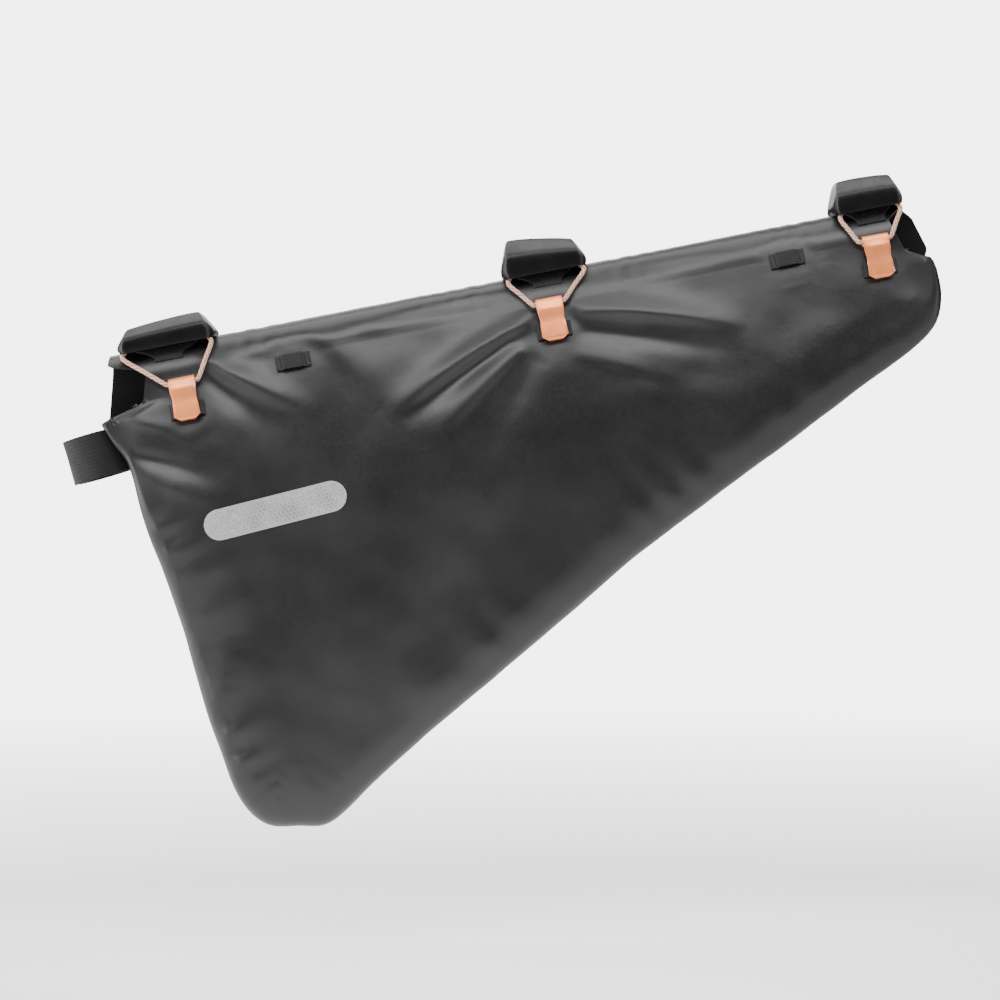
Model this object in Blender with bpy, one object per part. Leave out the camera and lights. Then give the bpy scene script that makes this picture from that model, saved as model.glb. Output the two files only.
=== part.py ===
"""Frame bag for the main triangle of a bicycle, worn over the top tube.

The fabric pouch wraps over the top tube and hangs below it. Three padded saddles sit on the
wrapped tube, and each pulls the near panel up with a cord loop and a bent metal hook that
catches a webbing loop. A hook-and-loop strap goes round the seat tube.

Metres. +X is forward along the bicycle, +Y points away from the near panel, +Z is up.
The origin is on the top tube's axis, just behind the middle saddle's centre.
"""

import math

import bmesh
import bpy
from mathutils import Vector
from mathutils.bvhtree import BVHTree

# Top tube and the tunnel of fabric around it
TUBE_SLOPE = math.radians(11.0)
TUNNEL_RADIUS = 0.0184
WALL = 0.0016

# Pouch
POUCH_LENGTH = 0.504
POUCH_DEPTH = 0.266
BELLY_HALF_WIDTH = 0.034
SHOULDER_DROP = 0.080
EDGE_ROUND_ALONG = 0.028
EDGE_ROUND_ACROSS = 0.013
FOLD_HEIGHT = 0.0042
FOLD_WIDTH = 0.0095

# Saddle pads
PAD_LENGTH = 0.052
PAD_HEIGHT = 0.0195
PAD_SIDE = 0.0042
PAD_TOP_SHARE = 0.68
PAD_CORNER_RADIUS = 0.0085
TONGUE_DROP = 0.0085
TONGUE_WIDTH = 0.018

# Cord loops
CORD_RADIUS = 0.0013
CORD_CLEARANCE = 0.0004
CORD_EXIT = (
    # back from the pad's end, out from the bore, down from the bore
    (0.0090, 0.0000, 0.0000),
    (0.0060, 0.0020, 0.0006),
    (0.0040, 0.0054, 0.0028),
    (0.0032, 0.0080, 0.0064),
)

# Hooks
HOOK_PLATE = 0.0015
HOOK_WIDTH = 0.016
HOOK_TIP_WIDTH = 0.009
HOOK_REACH = 0.0165
HOOK_TIP_RISE = 0.0055

# Webbing loops that the hooks catch
LOOP_SPAN = 0.0114
LOOP_FOOT = 0.0036
LOOP_HEIGHT = 0.009
LOOP_THICKNESS = 0.0012

# Label patch
LABEL_LENGTH = 0.087
LABEL_WIDTH = 0.0185
LABEL_THICKNESS = 0.0008
LABEL_TILT = math.radians(14.3)
LABEL_PLACE = (-0.316, 0.274)  # shares of the pouch's length, and of its depth below the tunnel

# Seat tube, and the strap sewn to the pouch's rear edge that goes round it
SEAT_TUBE_RADIUS = 0.0155
SEAT_TUBE_LEAN = math.radians(16.3)
SEAT_STRAP_RADIUS = 0.0162
SEAT_STRAP_THICKNESS = 0.0018
SEAT_STRAP_WIDTH = 0.027
SEAT_STRAP_OVERLAP = math.radians(80)
SEAT_STRAP_PLACE = (-0.530, 0.069)  # shares of the pouch's length, and of its depth below the tunnel
CHANNEL_FLAT = 0.25  # share of the half width of the channel that the strap lies in
CHANNEL_FADE = 0.030

# Running gap between pieces that touch
GAP = 0.0003
SURFACE_GAP = 0.00045

# Facets
ARC_STEPS = 5
NEAR_STEPS = 12
FAR_STEPS = 7
CORNER_STEPS = 5
GUSSET_STEPS = 4
RIBS_PER_STATION = 2

TUBE_ALONG = Vector((math.cos(TUBE_SLOPE), 0.0, math.sin(TUBE_SLOPE)))
TUBE_UP = Vector((-math.sin(TUBE_SLOPE), 0.0, math.cos(TUBE_SLOPE)))
ACROSS = Vector((0.0, 1.0, 0.0))
TUNNEL_OUTER = TUNNEL_RADIUS + WALL

# Each rib of the pouch runs from a point on the tube's axis to a point on the pouch's edge.
# axis_x and edge_x are shares of the pouch's length, edge_drop of its depth below the tunnel,
# fullness of the way from the tunnel's half width to the belly's, and rounding of the edge's.
STATIONS = (
    # axis_x, edge_x, edge_drop, fullness, rounding
    (-0.5212, -0.5248, 0.004, 0.12, 0.10),
    (-0.5089, -0.5096, 0.053, 0.24, 0.16),
    (-0.4960, -0.4906, 0.111, 0.38, 0.30),
    (-0.4762, -0.4715, 0.248, 0.58, 0.62),
    (-0.4484, -0.4391, 0.431, 0.76, 0.95),
    (-0.4127, -0.4091, 0.642, 0.88, 1.00),
    (-0.3770, -0.3857, 0.788, 0.90, 1.00),
    (-0.3492, -0.3623, 0.906, 0.84, 0.95),
    (-0.3234, -0.3310, 0.977, 0.76, 0.90),
    (-0.2937, -0.2906, 0.996, 0.74, 0.90),
    (-0.2619, -0.2525, 1.000, 0.80, 0.95),
    (-0.1984, -0.2010, 0.930, 0.92, 1.00),
    (-0.1230, -0.1172, 0.816, 1.00, 1.00),
    (-0.0278, -0.0067, 0.680, 1.00, 1.00),
    (0.0754, 0.1037, 0.543, 0.96, 1.00),
    (0.1786, 0.2104, 0.427, 0.88, 0.95),
    (0.2778, 0.3171, 0.315, 0.74, 0.85),
    (0.3571, 0.3933, 0.235, 0.54, 0.70),
    (0.4028, 0.4390, 0.186, 0.38, 0.60),
    (0.4226, 0.4675, 0.139, 0.26, 0.52),
    (0.4345, 0.4744, 0.077, 0.17, 0.45),
    (0.4464, 0.4706, 0.021, 0.10, 0.40),
)

# Notches in the near side's rim at the tunnel's two mouths. The rim's place is a share of the
# pouch's length; depth is how far the rim is drawn back, reach how far the cloth follows it,
# top and foot the notch's ends above the tube's axis, and fade the length of both its slopes.
NOTCHES = (
    # rim_x, depth, reach, top, foot, fade
    (-0.5212, 0.0200, 0.042, 0.0050, -0.0090, 0.0105),
    (0.4464, -0.0080, 0.034, 0.0060, -0.0080, 0.0110),
)

# Ridges and valleys of the near panel, drawn from the closures. x is a share of the pouch's
# length and drop of its depth below the tube's axis; height and width of the fold's sizes.
FOLDS = (
    # start_x, start_drop, end_x, end_drop, height, width
    (-0.040, 0.015, -0.170, 0.190, 1.00, 1.00),
    (-0.010, 0.120, -0.112, 0.285, 0.60, 1.05),
    (0.045, 0.035, 0.240, 0.160, 1.00, 0.95),
    (0.060, 0.135, 0.215, 0.250, 0.55, 1.00),
    (-0.385, 0.020, -0.265, 0.150, 0.85, 0.95),
    (0.050, -0.020, 0.200, 0.060, -0.75, 0.75),
    (-0.060, -0.010, -0.160, 0.060, -0.60, 0.80),
    (-0.500, 0.080, -0.420, 0.150, 0.55, 0.85),
    (-0.490, 0.170, -0.400, 0.215, -0.45, 0.80),
    (0.330, 0.130, 0.420, 0.120, 0.45, 0.90),
)

# Closures: place is a share of the pouch's length, the pad's sizes are shares of the named
# ones, hook_ahead is a share of the pad's length and loop_drop of the hook's reach.
CLOSURES = (
    # name, place, length, rear_height, front_height, hook_ahead, loop_drop
    ("rear", -0.4405, 1.15, 0.72, 0.86, 0.11, 1.34),
    ("middle", 0.0101, 1.00, 1.20, 0.88, -0.03, 1.05),
    ("front", 0.3956, 0.82, 1.02, 0.96, -0.02, 1.05),
)

# Webbing loops left free: place is a share of the pouch's length, drop of the hook's reach.
FREE_LOOPS = (
    # name, place, drop
    ("rear", -0.2984, 0.34),
    ("front", 0.2899, 0.10),
)


# Small helpers


def material(name, colour, roughness, metallic=0.0):
    made = bpy.data.materials.new(name)
    made.use_nodes = True
    shader = made.node_tree.nodes["Principled BSDF"]
    shader.inputs["Base Color"].default_value = (*colour, 1.0)
    shader.inputs["Roughness"].default_value = roughness
    shader.inputs["Metallic"].default_value = metallic
    made.diffuse_color = (*colour, 1.0)
    return made


def add_object(name, vertices, faces, finish):
    """A named object whose faces point outwards."""
    mesh = bpy.data.meshes.new(name)
    mesh.from_pydata([tuple(v) for v in vertices], [], faces)
    shaped = bmesh.new()
    shaped.from_mesh(mesh)
    bmesh.ops.recalc_face_normals(shaped, faces=shaped.faces)
    shaped.to_mesh(mesh)
    shaped.free()
    mesh.shade_smooth()
    mesh.set_sharp_from_angle(angle=math.radians(35))
    mesh.materials.append(finish)
    made = bpy.data.objects.new(name, mesh)
    bpy.context.scene.collection.objects.link(made)
    return made


def tube_faces(rings, first):
    """Quads between rings of equally many points, whose first vertex has that number."""
    count = len(rings[0])
    faces = []
    for i in range(len(rings) - 1):
        for j in range(count):
            k = (j + 1) % count
            a = first + i * count
            b = a + count
            faces.append((a + j, a + k, b + k, b + j))
    return faces


def loft(rings):
    """Vertices and faces of a solid through closed rings of equally many points, ends capped."""
    count = len(rings[0])
    last = (len(rings) - 1) * count
    ends = [tuple(range(count)), tuple(last + j for j in range(count))]
    return [point for ring in rings for point in ring], tube_faces(rings, 0) + ends


def ribbon(path, halves, thickness, along, lift, side, origin):
    """A flat bar bent along a path of (up, out) points, with its half width at each point."""
    spots = [Vector(spot) for spot in path]
    steps = [(b - a).normalized() for a, b in zip(spots, spots[1:])]
    rings = []
    for i, (up, out) in enumerate(path):
        arriving = steps[max(i - 1, 0)]
        leaving = steps[min(i, len(steps) - 1)]
        middle = (arriving + leaving).normalized()
        turned = Vector((-middle.y, middle.x)) * (0.5 * thickness / middle.dot(arriving))
        inner = origin + lift * (up + turned.x) + side * (out + turned.y)
        outer = origin + lift * (up - turned.x) + side * (out - turned.y)
        half = along * halves[i]
        rings.append((inner - half, inner + half, outer + half, outer - half))
    return loft(rings)


def catmull_rom(before, start, end, after, share):
    """A smooth value between start and end."""
    return 0.5 * (
        2 * start
        + (end - before) * share
        + (2 * before - 5 * start + 4 * end - after) * share**2
        + (3 * start - before - 3 * end + after) * share**3
    )


def axis_height(x):
    return x * math.tan(TUBE_SLOPE)


def tube_frame(x):
    """The point of the tube's axis at that x."""
    return Vector((x, 0.0, axis_height(x)))


# Pouch


def pouch_ribs():
    """The stations, with smooth ones between them."""
    ribs = []
    for i in range(len(STATIONS) - 1):
        rows = [STATIONS[min(max(i + k, 0), len(STATIONS) - 1)] for k in (-1, 0, 1, 2)]
        for step in range(RIBS_PER_STATION):
            share = step / RIBS_PER_STATION
            ribs.append([catmull_rom(*column, share) for column in zip(*rows)])
    ribs.append(list(STATIONS[-1]))
    return ribs


def panel_half_width(down, fullness):
    """Half the pouch's width that far below the tube's axis, before its edge is rounded."""
    share = min(max(down / SHOULDER_DROP, 0.0), 1.0)
    widest = TUNNEL_OUTER + (BELLY_HALF_WIDTH - TUNNEL_OUTER) * fullness
    return TUNNEL_OUTER + (widest - TUNNEL_OUTER) * share * (2 - share)


def fold_rise(x, z):
    """How far the near panel stands out at a point of its ridges and valleys."""
    rise = 0.0
    for start_x, start_drop, end_x, end_drop, height, width in FOLDS:
        start = fold_end(start_x, start_drop)
        end = fold_end(end_x, end_drop)
        line = end - start
        share = min(max((Vector((x, z)) - start).dot(line) / line.length_squared, 0.0), 1.0)
        apart = (Vector((x, z)) - start - line * share).length
        taper = math.sin(math.pi * (0.25 + 0.75 * share))
        rise += FOLD_HEIGHT * height * taper * math.exp(-((apart / (FOLD_WIDTH * width)) ** 2))
    return rise


def fold_end(x_share, drop_share):
    x = x_share * POUCH_LENGTH
    return Vector((x, axis_height(x) - drop_share * POUCH_DEPTH))


def half_section(length, slant, fullness, rounding, steps, inset):
    """Points (down, half width) from the tunnel's top to the gusset, in the plane of a rib."""
    points = []
    for i in range(ARC_STEPS):
        angle = 0.5 * math.pi * i / ARC_STEPS
        radius = TUNNEL_OUTER - inset
        points.append((-radius / slant * math.cos(angle), radius * math.sin(angle)))
    along = min(EDGE_ROUND_ALONG * rounding, 0.55 * length)
    turn = length - along
    for i in range(steps):
        down = turn * (i / steps) ** 1.35
        points.append((down, panel_half_width(down, fullness) - inset))
    for i in range(CORNER_STEPS + 1):
        angle = 0.5 * math.pi * i / CORNER_STEPS
        down = turn + along * math.sin(angle)
        narrowing = inset + EDGE_ROUND_ACROSS * rounding * (1 - math.cos(angle))
        points.append((down, panel_half_width(down, fullness) - narrowing))
    return points


def notch_shift(rib_x, point):
    """How far the cloth of the near side is drawn along the tube at a mouth's notch."""
    up = (point - tube_frame(point.x)).dot(TUBE_UP)
    aside = min(max(-point.y / (0.5 * TUNNEL_OUTER), 0.0), 1.0)
    shift = 0.0
    for rim_x, depth, reach, top, foot, fade in NOTCHES:
        near = max(1 - abs(rib_x - rim_x) * POUCH_LENGTH / reach, 0.0)
        inside = min(max((top + fade - up) / fade, 0.0), max((up - foot + fade) / fade, 0.0), 1.0)
        shift += depth * near * aside * inside * inside * (3 - 2 * inside)
    return shift


def seat_tube_relief(point, inset):
    """The point moved forward where it would lie in the space of the seat tube and its strap."""
    centre, along, forward = seat_tube_frame()
    past = abs((point - centre).dot(along)) - 0.5 * SEAT_STRAP_WIDTH - GAP
    fade = min(max(1 - past / CHANNEL_FADE, 0.0), 1.0)
    strap_room = SEAT_STRAP_RADIUS + SEAT_STRAP_THICKNESS + GAP
    room = SEAT_TUBE_RADIUS + (strap_room - SEAT_TUBE_RADIUS) * fade + inset
    aside = max(abs(point.y) / room - CHANNEL_FLAT, 0.0) / (1 - CHANNEL_FLAT)
    if aside >= 1:
        return point
    least = room * math.sqrt(1 - aside**2)
    return point + forward * max(least - (point - centre).dot(forward), 0.0)


def edge_point(rib):
    """Where a rib ends on the pouch's edge, as (x, z)."""
    x = rib[1] * POUCH_LENGTH
    return Vector((x, axis_height(x) - TUNNEL_OUTER / math.cos(TUBE_SLOPE) - rib[2] * POUCH_DEPTH))


def pouch_ring(rib, edge, inset):
    """One closed ring of the pouch, from the tunnel's top round the near panel and back."""
    top = tube_frame(rib[0] * POUCH_LENGTH)
    end = Vector((edge.x, 0.0, edge.y))
    down = (end - top).normalized()
    length = (end - top).length
    slant = -down.dot(TUBE_UP)
    near = half_section(length, slant, rib[3], rib[4], NEAR_STEPS, inset)
    outer = half_section(length, slant, rib[3], rib[4], NEAR_STEPS, 0.0)
    far = half_section(length, slant, rib[3], rib[4], FAR_STEPS, inset)
    ring = []
    for (depth, half), (outer_depth, outer_half) in zip(near, outer):
        point = top + down * depth
        lift = fold_rise(point.x, point.z) if depth > -0.5 * TUNNEL_OUTER else 0.0
        fade = min(max((length - depth) / EDGE_ROUND_ALONG, 0.0), 1.0)
        shift = notch_shift(rib[0], top + down * outer_depth - ACROSS * outer_half)
        ring.append(point - ACROSS * (half + lift * fade) + TUBE_ALONG * shift)
    gusset = near[-1][1]
    for i in range(1, GUSSET_STEPS):
        ring.append(end - ACROSS * gusset * (1 - 2 * i / GUSSET_STEPS))
    ring += [top + down * depth + ACROSS * half for depth, half in reversed(far[1:])]
    return [seat_tube_relief(point, inset) for point in ring]


def pouch_rings(inset):
    """All rings of the pouch's outer side, or of its inner side one wall further in."""
    ribs = pouch_ribs()
    edges = [edge_point(rib) for rib in ribs]
    rings = []
    for i, rib in enumerate(ribs):
        run = edges[min(i + 1, len(edges) - 1)] - edges[max(i - 1, 0)]
        inward = Vector((-run.y, run.x)).normalized()
        rings.append(pouch_ring(rib, edges[i] + inward * inset, inset))
    return rings


def make_pouch(outer, finish):
    """The pouch: an outer and an inner side, joined at the rims of the tunnel's two mouths."""
    inner = pouch_rings(WALL)
    count = len(outer[0])
    half = len(outer) * count
    vertices = [point for ring in outer + inner for point in ring]
    faces = tube_faces(outer, 0) + tube_faces(inner, half)
    for start in (0, half - count):
        for j in range(count):
            k = (j + 1) % count
            faces.append((start + j, start + k, half + start + k, half + start + j))
    return add_object("pouch", vertices, faces, finish)


def on_panel(surface, x, z, side):
    """The point and outward normal of the near (side -1) or far (side 1) panel at x and z."""
    start = Vector((x, side, z))
    point, normal, _, _ = surface.ray_cast(start, ACROSS * -side)
    if normal.y * side < 0:
        normal = -normal
    return point, normal


def panel_frame(surface, x, z, ahead, above, below):
    """Origin, along, up and out of a flat that rests on the near panel, touching its highest point."""
    point, out = on_panel(surface, x, z, -1.0)
    along = (TUBE_ALONG - out * TUBE_ALONG.dot(out)).normalized()
    up = out.cross(along)
    if up.z < 0:
        up = -up
    rise = 0.0
    for i in range(-4, 5):
        for j in range(9):
            spot = point + along * (ahead * i / 4) + up * (above * j / 8 - below * (8 - j) / 8)
            ground, _ = on_panel(surface, spot.x, spot.z, -1.0)
            rise = max(rise, (ground - point).dot(out))
    return point + out * rise, along, up, out


# Saddle pads


def pad_section(t, half_length, rear_height, front_height):
    """A ring of (across, up) points of a pad, that far along the tube from its middle."""
    end_share = abs(t) / half_length
    top_edge = PAD_TOP_SHARE
    share = 0.5 + 0.5 * t / (half_length * top_edge)
    height = rear_height + (front_height - rear_height) * min(max(share, 0.0), 1.0)
    if end_share > top_edge:
        fall = (end_share - top_edge) / (1 - top_edge)
        height *= 1 - 0.72 * fall
    shoulder = half_length * top_edge
    tongue = min(max((shoulder - abs(t)) / (shoulder - 0.5 * TONGUE_WIDTH), 0.0), 1.0)
    skirt = TUNNEL_OUTER - 0.0012 - (TONGUE_DROP - 0.0012) * tongue
    seat = TUNNEL_OUTER + 2 * GAP
    side = TUNNEL_OUTER + PAD_SIDE - 0.0045 * (1 - tongue) - 0.003 * max(end_share - top_edge, 0.0)
    top = TUNNEL_OUTER + height
    corner = min(PAD_CORNER_RADIUS, 0.75 * (top - skirt))
    low_angle = math.acos(min(skirt / seat, 1.0))
    outer = [(side, skirt)]
    for i in range(5):
        angle = 0.5 * math.pi * i / 4
        outer.append((side - corner * (1 - math.cos(angle)), top - corner * (1 - math.sin(angle))))
    inner = [(seat * math.sin(low_angle * k / 4), seat * math.cos(low_angle * k / 4)) for k in range(5)]
    near = [(-across, up) for across, up in outer]
    far = list(reversed(outer))
    under = list(reversed(inner)) + [(-across, up) for across, up in inner[1:]]
    return near + far + under


def make_pad(name, centre, half_length, rear_height, front_height, finish):
    """A saddle pad on top of the wrapped tube, bored lengthwise for its cord."""
    shoulder = half_length * PAD_TOP_SHARE
    tongue = 0.5 * TONGUE_WIDTH
    stops = (tongue, 0.5 * (tongue + shoulder), shoulder, 0.90 * half_length, half_length)
    rings = []
    for t in [-stop for stop in reversed(stops)] + list(stops):
        section = pad_section(t, half_length, rear_height, front_height)
        rings.append([centre + TUBE_ALONG * t + ACROSS * y + TUBE_UP * up for y, up in section])
    made = add_object(name, *loft(rings), finish)
    bore = bore_cutter(centre, half_length)
    cut = made.modifiers.new("cord bore", "BOOLEAN")
    cut.object = bore
    cut.operation = "DIFFERENCE"
    return made


def cord_bore():
    """Where the cord passes through a pad: (across, up) from the tube's axis."""
    return -(0.62 * TUNNEL_OUTER), TUNNEL_OUTER + 0.0014


def cord_exit(centre, half_length, end):
    """Points of a cord from inside its pad, out through the pad's lower edge near that end."""
    across, up = cord_bore()
    spots = [(half_length - back, across - out, up - down) for back, out, down in CORD_EXIT]
    return [centre + TUBE_ALONG * end * t + ACROSS * y + TUBE_UP * n for t, y, n in spots]


def bore_cutter(centre, half_length):
    """A round bar along the cord's way through a pad, wider than the cord by the clearance."""
    radius = CORD_RADIUS + CORD_CLEARANCE
    rear = open_curve(cord_exit(centre, half_length, -1.0), 2)
    front = open_curve(cord_exit(centre, half_length, 1.0), 2)
    line = list(reversed(rear)) + front
    rings = []
    for i, spot in enumerate(line):
        ahead = (line[min(i + 1, len(line) - 1)] - line[max(i - 1, 0)]).normalized()
        first = ahead.cross(ACROSS - TUBE_UP).normalized()
        second = ahead.cross(first)
        angles = [2 * math.pi * k / 8 for k in range(8)]
        rings.append([spot + (first * math.cos(a) + second * math.sin(a)) * radius for a in angles])
    cutter = add_object("bore_cutter", *loft(rings), bpy.data.materials["pad rubber"])
    cutter.hide_render = True
    cutter.display_type = "WIRE"
    return cutter


# Hooks and the webbing loops they catch


def eye_centre():
    """Where a hook's eye holds the cord: (up, out) from the middle of its webbing loop."""
    return HOOK_REACH, 2 * GAP + SURFACE_GAP + HOOK_PLATE + CORD_RADIUS


def hook_path():
    """The hook's middle line, from the free end of its eye down to the tip behind the loop."""
    eye_up, eye_out = eye_centre()
    eye = CORD_RADIUS + CORD_CLEARANCE + 0.5 * HOOK_PLATE
    plate_out = loop_rise() + 0.5 * LOOP_THICKNESS + GAP + 0.5 * HOOK_PLATE
    tip_out = loop_rise() - 0.5 * LOOP_THICKNESS - GAP - 0.5 * HOOK_PLATE
    bend = 0.5 * (plate_out - tip_out)
    bend_up = -0.5 * LOOP_HEIGHT
    path = []
    for i in range(11):
        angle = math.radians(250 - 25 * i)
        path.append((eye_up + eye * math.sin(angle), eye_out + eye * math.cos(angle)))
    path.append((0.70 * eye_up, eye_out + eye - 0.0002))
    path.append((0.35 * eye_up, plate_out + 0.0003))
    for i in range(7):
        angle = math.radians(-30 * i)
        path.append((bend_up + bend * math.sin(angle), tip_out + bend + bend * math.cos(angle)))
    path.append((bend_up + HOOK_TIP_RISE, tip_out))
    return path


def make_hook(name, frame, finish):
    origin, along, up, out = frame
    path = hook_path()
    bend_starts = len(path) - 8
    halves = []
    for i in range(len(path)):
        narrow = min(max((i - bend_starts) / 3, 0.0), 1.0)
        halves.append(0.5 * (HOOK_WIDTH + (HOOK_TIP_WIDTH - HOOK_WIDTH) * narrow))
    return add_object(name, *ribbon(path, halves, HOOK_PLATE, along, up, out, origin), finish)


def loop_ground():
    """How far a webbing loop and its hook's bend reach over the panel: ahead, above and below."""
    return 0.5 * LOOP_SPAN + LOOP_FOOT + 0.0011, 0.5 * LOOP_HEIGHT, 0.5 * LOOP_HEIGHT + 0.003


def loop_rise():
    """How far the middle of a webbing loop's bridge stands off the panel."""
    return SURFACE_GAP + HOOK_PLATE + GAP + 0.5 * LOOP_THICKNESS


def make_webbing_loop(name, frame, finish):
    """A strip of webbing sewn down at both ends, with a bridge between them for a hook."""
    origin, along, up, out = frame
    foot_out = SURFACE_GAP + 0.5 * LOOP_THICKNESS
    inner = 0.5 * LOOP_SPAN
    knee = inner + 0.0011
    path = [
        (-knee - LOOP_FOOT, foot_out),
        (-knee, foot_out),
        (-inner, loop_rise()),
        (inner, loop_rise()),
        (knee, foot_out),
        (knee + LOOP_FOOT, foot_out),
    ]
    halves = [0.5 * LOOP_HEIGHT] * len(path)
    return add_object(name, *ribbon(path, halves, LOOP_THICKNESS, up, along, out, origin), finish)


# Cord loops


def cord_route(centre, half_length, frame):
    """The route's own points: through the pad, out of its lower edge and down to the hook's eye."""
    origin, along, up, out = frame
    eye_up, eye_out = eye_centre()
    eye = origin + up * eye_up + out * eye_out
    route = []
    for end in (-1.0, 1.0):
        arm = cord_exit(centre, half_length, end)
        lip = eye + along * end * (0.5 * HOOK_WIDTH + 2 * CORD_RADIUS) + up * CORD_RADIUS
        arm.append(arm[-1].lerp(lip, 0.5))
        arm.append(lip)
        arm.append(eye + along * end * 0.52 * HOOK_WIDTH)
        arm.append(eye + along * end * 0.20 * HOOK_WIDTH)
        route.append(arm)
    return route[0] + list(reversed(route[1]))


def open_curve(points, steps):
    """Points read from a smooth curve through the given ones, its two ends among them."""
    last = len(points) - 1
    smooth = []
    for i in range(last):
        before, start, end, after = (points[min(max(i + k, 0), last)] for k in (-1, 0, 1, 2))
        for step in range(steps):
            smooth.append(catmull_rom(before, start, end, after, step / steps))
    return smooth + [points[-1]]


def make_cord(name, centre, half_length, frame, finish):
    line = open_curve(cord_route(centre, half_length, frame), 2)
    curve = bpy.data.curves.new(name, "CURVE")
    curve.dimensions = "3D"
    curve.bevel_depth = CORD_RADIUS
    curve.bevel_resolution = 2
    spline = curve.splines.new("POLY")
    spline.points.add(len(line) - 1)
    for place, point in zip(spline.points, line):
        place.co = (*point, 1.0)
    spline.use_cyclic_u = True
    curve.materials.append(finish)
    made = bpy.data.objects.new(name, curve)
    bpy.context.scene.collection.objects.link(made)
    return made


# Flat pieces that lie on a panel


def draped_plate(surface, columns, side, gap, thickness):
    """A thin plate over columns of (x, z) points, lying on the near or far panel."""
    lower = []
    upper = []
    for column in columns:
        for x, z in column:
            point, normal = on_panel(surface, x, z, side)
            lower.append(point + normal * gap)
            upper.append(point + normal * (gap + thickness))
    across = len(columns[0])
    total = len(lower)
    faces = []
    for i in range(len(columns) - 1):
        for j in range(across - 1):
            a, b = i * across + j, (i + 1) * across + j
            faces.append((a, b, b + 1, a + 1))
            faces.append((total + a, total + a + 1, total + b + 1, total + b))
    border = (
        [j for j in range(across)]
        + [i * across + across - 1 for i in range(1, len(columns))]
        + [(len(columns) - 1) * across + j for j in range(across - 2, -1, -1)]
        + [i * across for i in range(len(columns) - 2, 0, -1)]
    )
    for i, a in enumerate(border):
        b = border[(i + 1) % len(border)]
        faces.append((a, b, total + b, total + a))
    return lower + upper, faces


def make_label(surface, finish):
    """The round-ended patch on the near panel."""
    place = fold_end(*LABEL_PLACE)
    centre_x = place.x
    centre_z = place.y - TUNNEL_OUTER
    radius = 0.5 * LABEL_WIDTH
    straight = 0.5 * LABEL_LENGTH - radius
    spread = [math.cos(math.pi * k / 8) for k in range(1, 5)]
    ends = [straight + radius * math.cos(0.5 * math.pi * k / 5) for k in range(1, 6)]
    half = ends + [straight * k / 5 for k in range(4, 0, -1)]
    places = [-a for a in half] + [0.0] + list(reversed(half))
    columns = []
    for a in places:
        past = max(abs(a) - straight, 0.0)
        reach = math.sqrt(max(radius**2 - past**2, 0.0))
        shares = [-1.0, -spread[2], 0.0, spread[2], 1.0]
        column = []
        for share in shares:
            b = share * reach
            x = centre_x + a * math.cos(LABEL_TILT) - b * math.sin(LABEL_TILT)
            z = centre_z + a * math.sin(LABEL_TILT) + b * math.cos(LABEL_TILT)
            column.append((x, z))
        columns.append(column)
    plate = draped_plate(surface, columns, -1.0, SURFACE_GAP, LABEL_THICKNESS)
    return add_object("label_patch", *plate, finish)


# Seat tube strap


def seat_tube_frame():
    """Centre of the strap, the seat tube's direction downwards, and forward from the tube."""
    x = SEAT_STRAP_PLACE[0] * POUCH_LENGTH
    z = axis_height(x) - TUNNEL_OUTER - SEAT_STRAP_PLACE[1] * POUCH_DEPTH
    along = Vector((math.sin(SEAT_TUBE_LEAN), 0.0, -math.cos(SEAT_TUBE_LEAN)))
    forward = Vector((math.cos(SEAT_TUBE_LEAN), 0.0, math.sin(SEAT_TUBE_LEAN)))
    return Vector((x, 0.0, z)), along, forward


def make_seat_strap(finish):
    """A strap wound round the seat tube, whose end lies over its start."""
    centre, along, forward = seat_tube_frame()
    sweep = 2 * math.pi + SEAT_STRAP_OVERLAP
    steps = 44
    step_out = SEAT_STRAP_THICKNESS + GAP
    begin = math.radians(100)
    rings = []
    for i in range(steps + 1):
        turned = sweep * i / steps
        over = min(max((turned - 2 * math.pi + 0.6) / 0.6, 0.0), 1.0)
        inner = SEAT_STRAP_RADIUS + step_out * over * over * (3 - 2 * over)
        angle = begin + turned
        ray = forward * math.cos(angle) - ACROSS * math.sin(angle)
        half = along * 0.5 * SEAT_STRAP_WIDTH
        low = centre + ray * inner
        high = centre + ray * (inner + SEAT_STRAP_THICKNESS)
        rings.append((low - half, low + half, high + half, high - half))
    return add_object("seat_strap", *loft(rings), finish)


# Assembly


def clear_scene():
    for old in list(bpy.data.objects):
        bpy.data.objects.remove(old, do_unlink=True)


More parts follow.
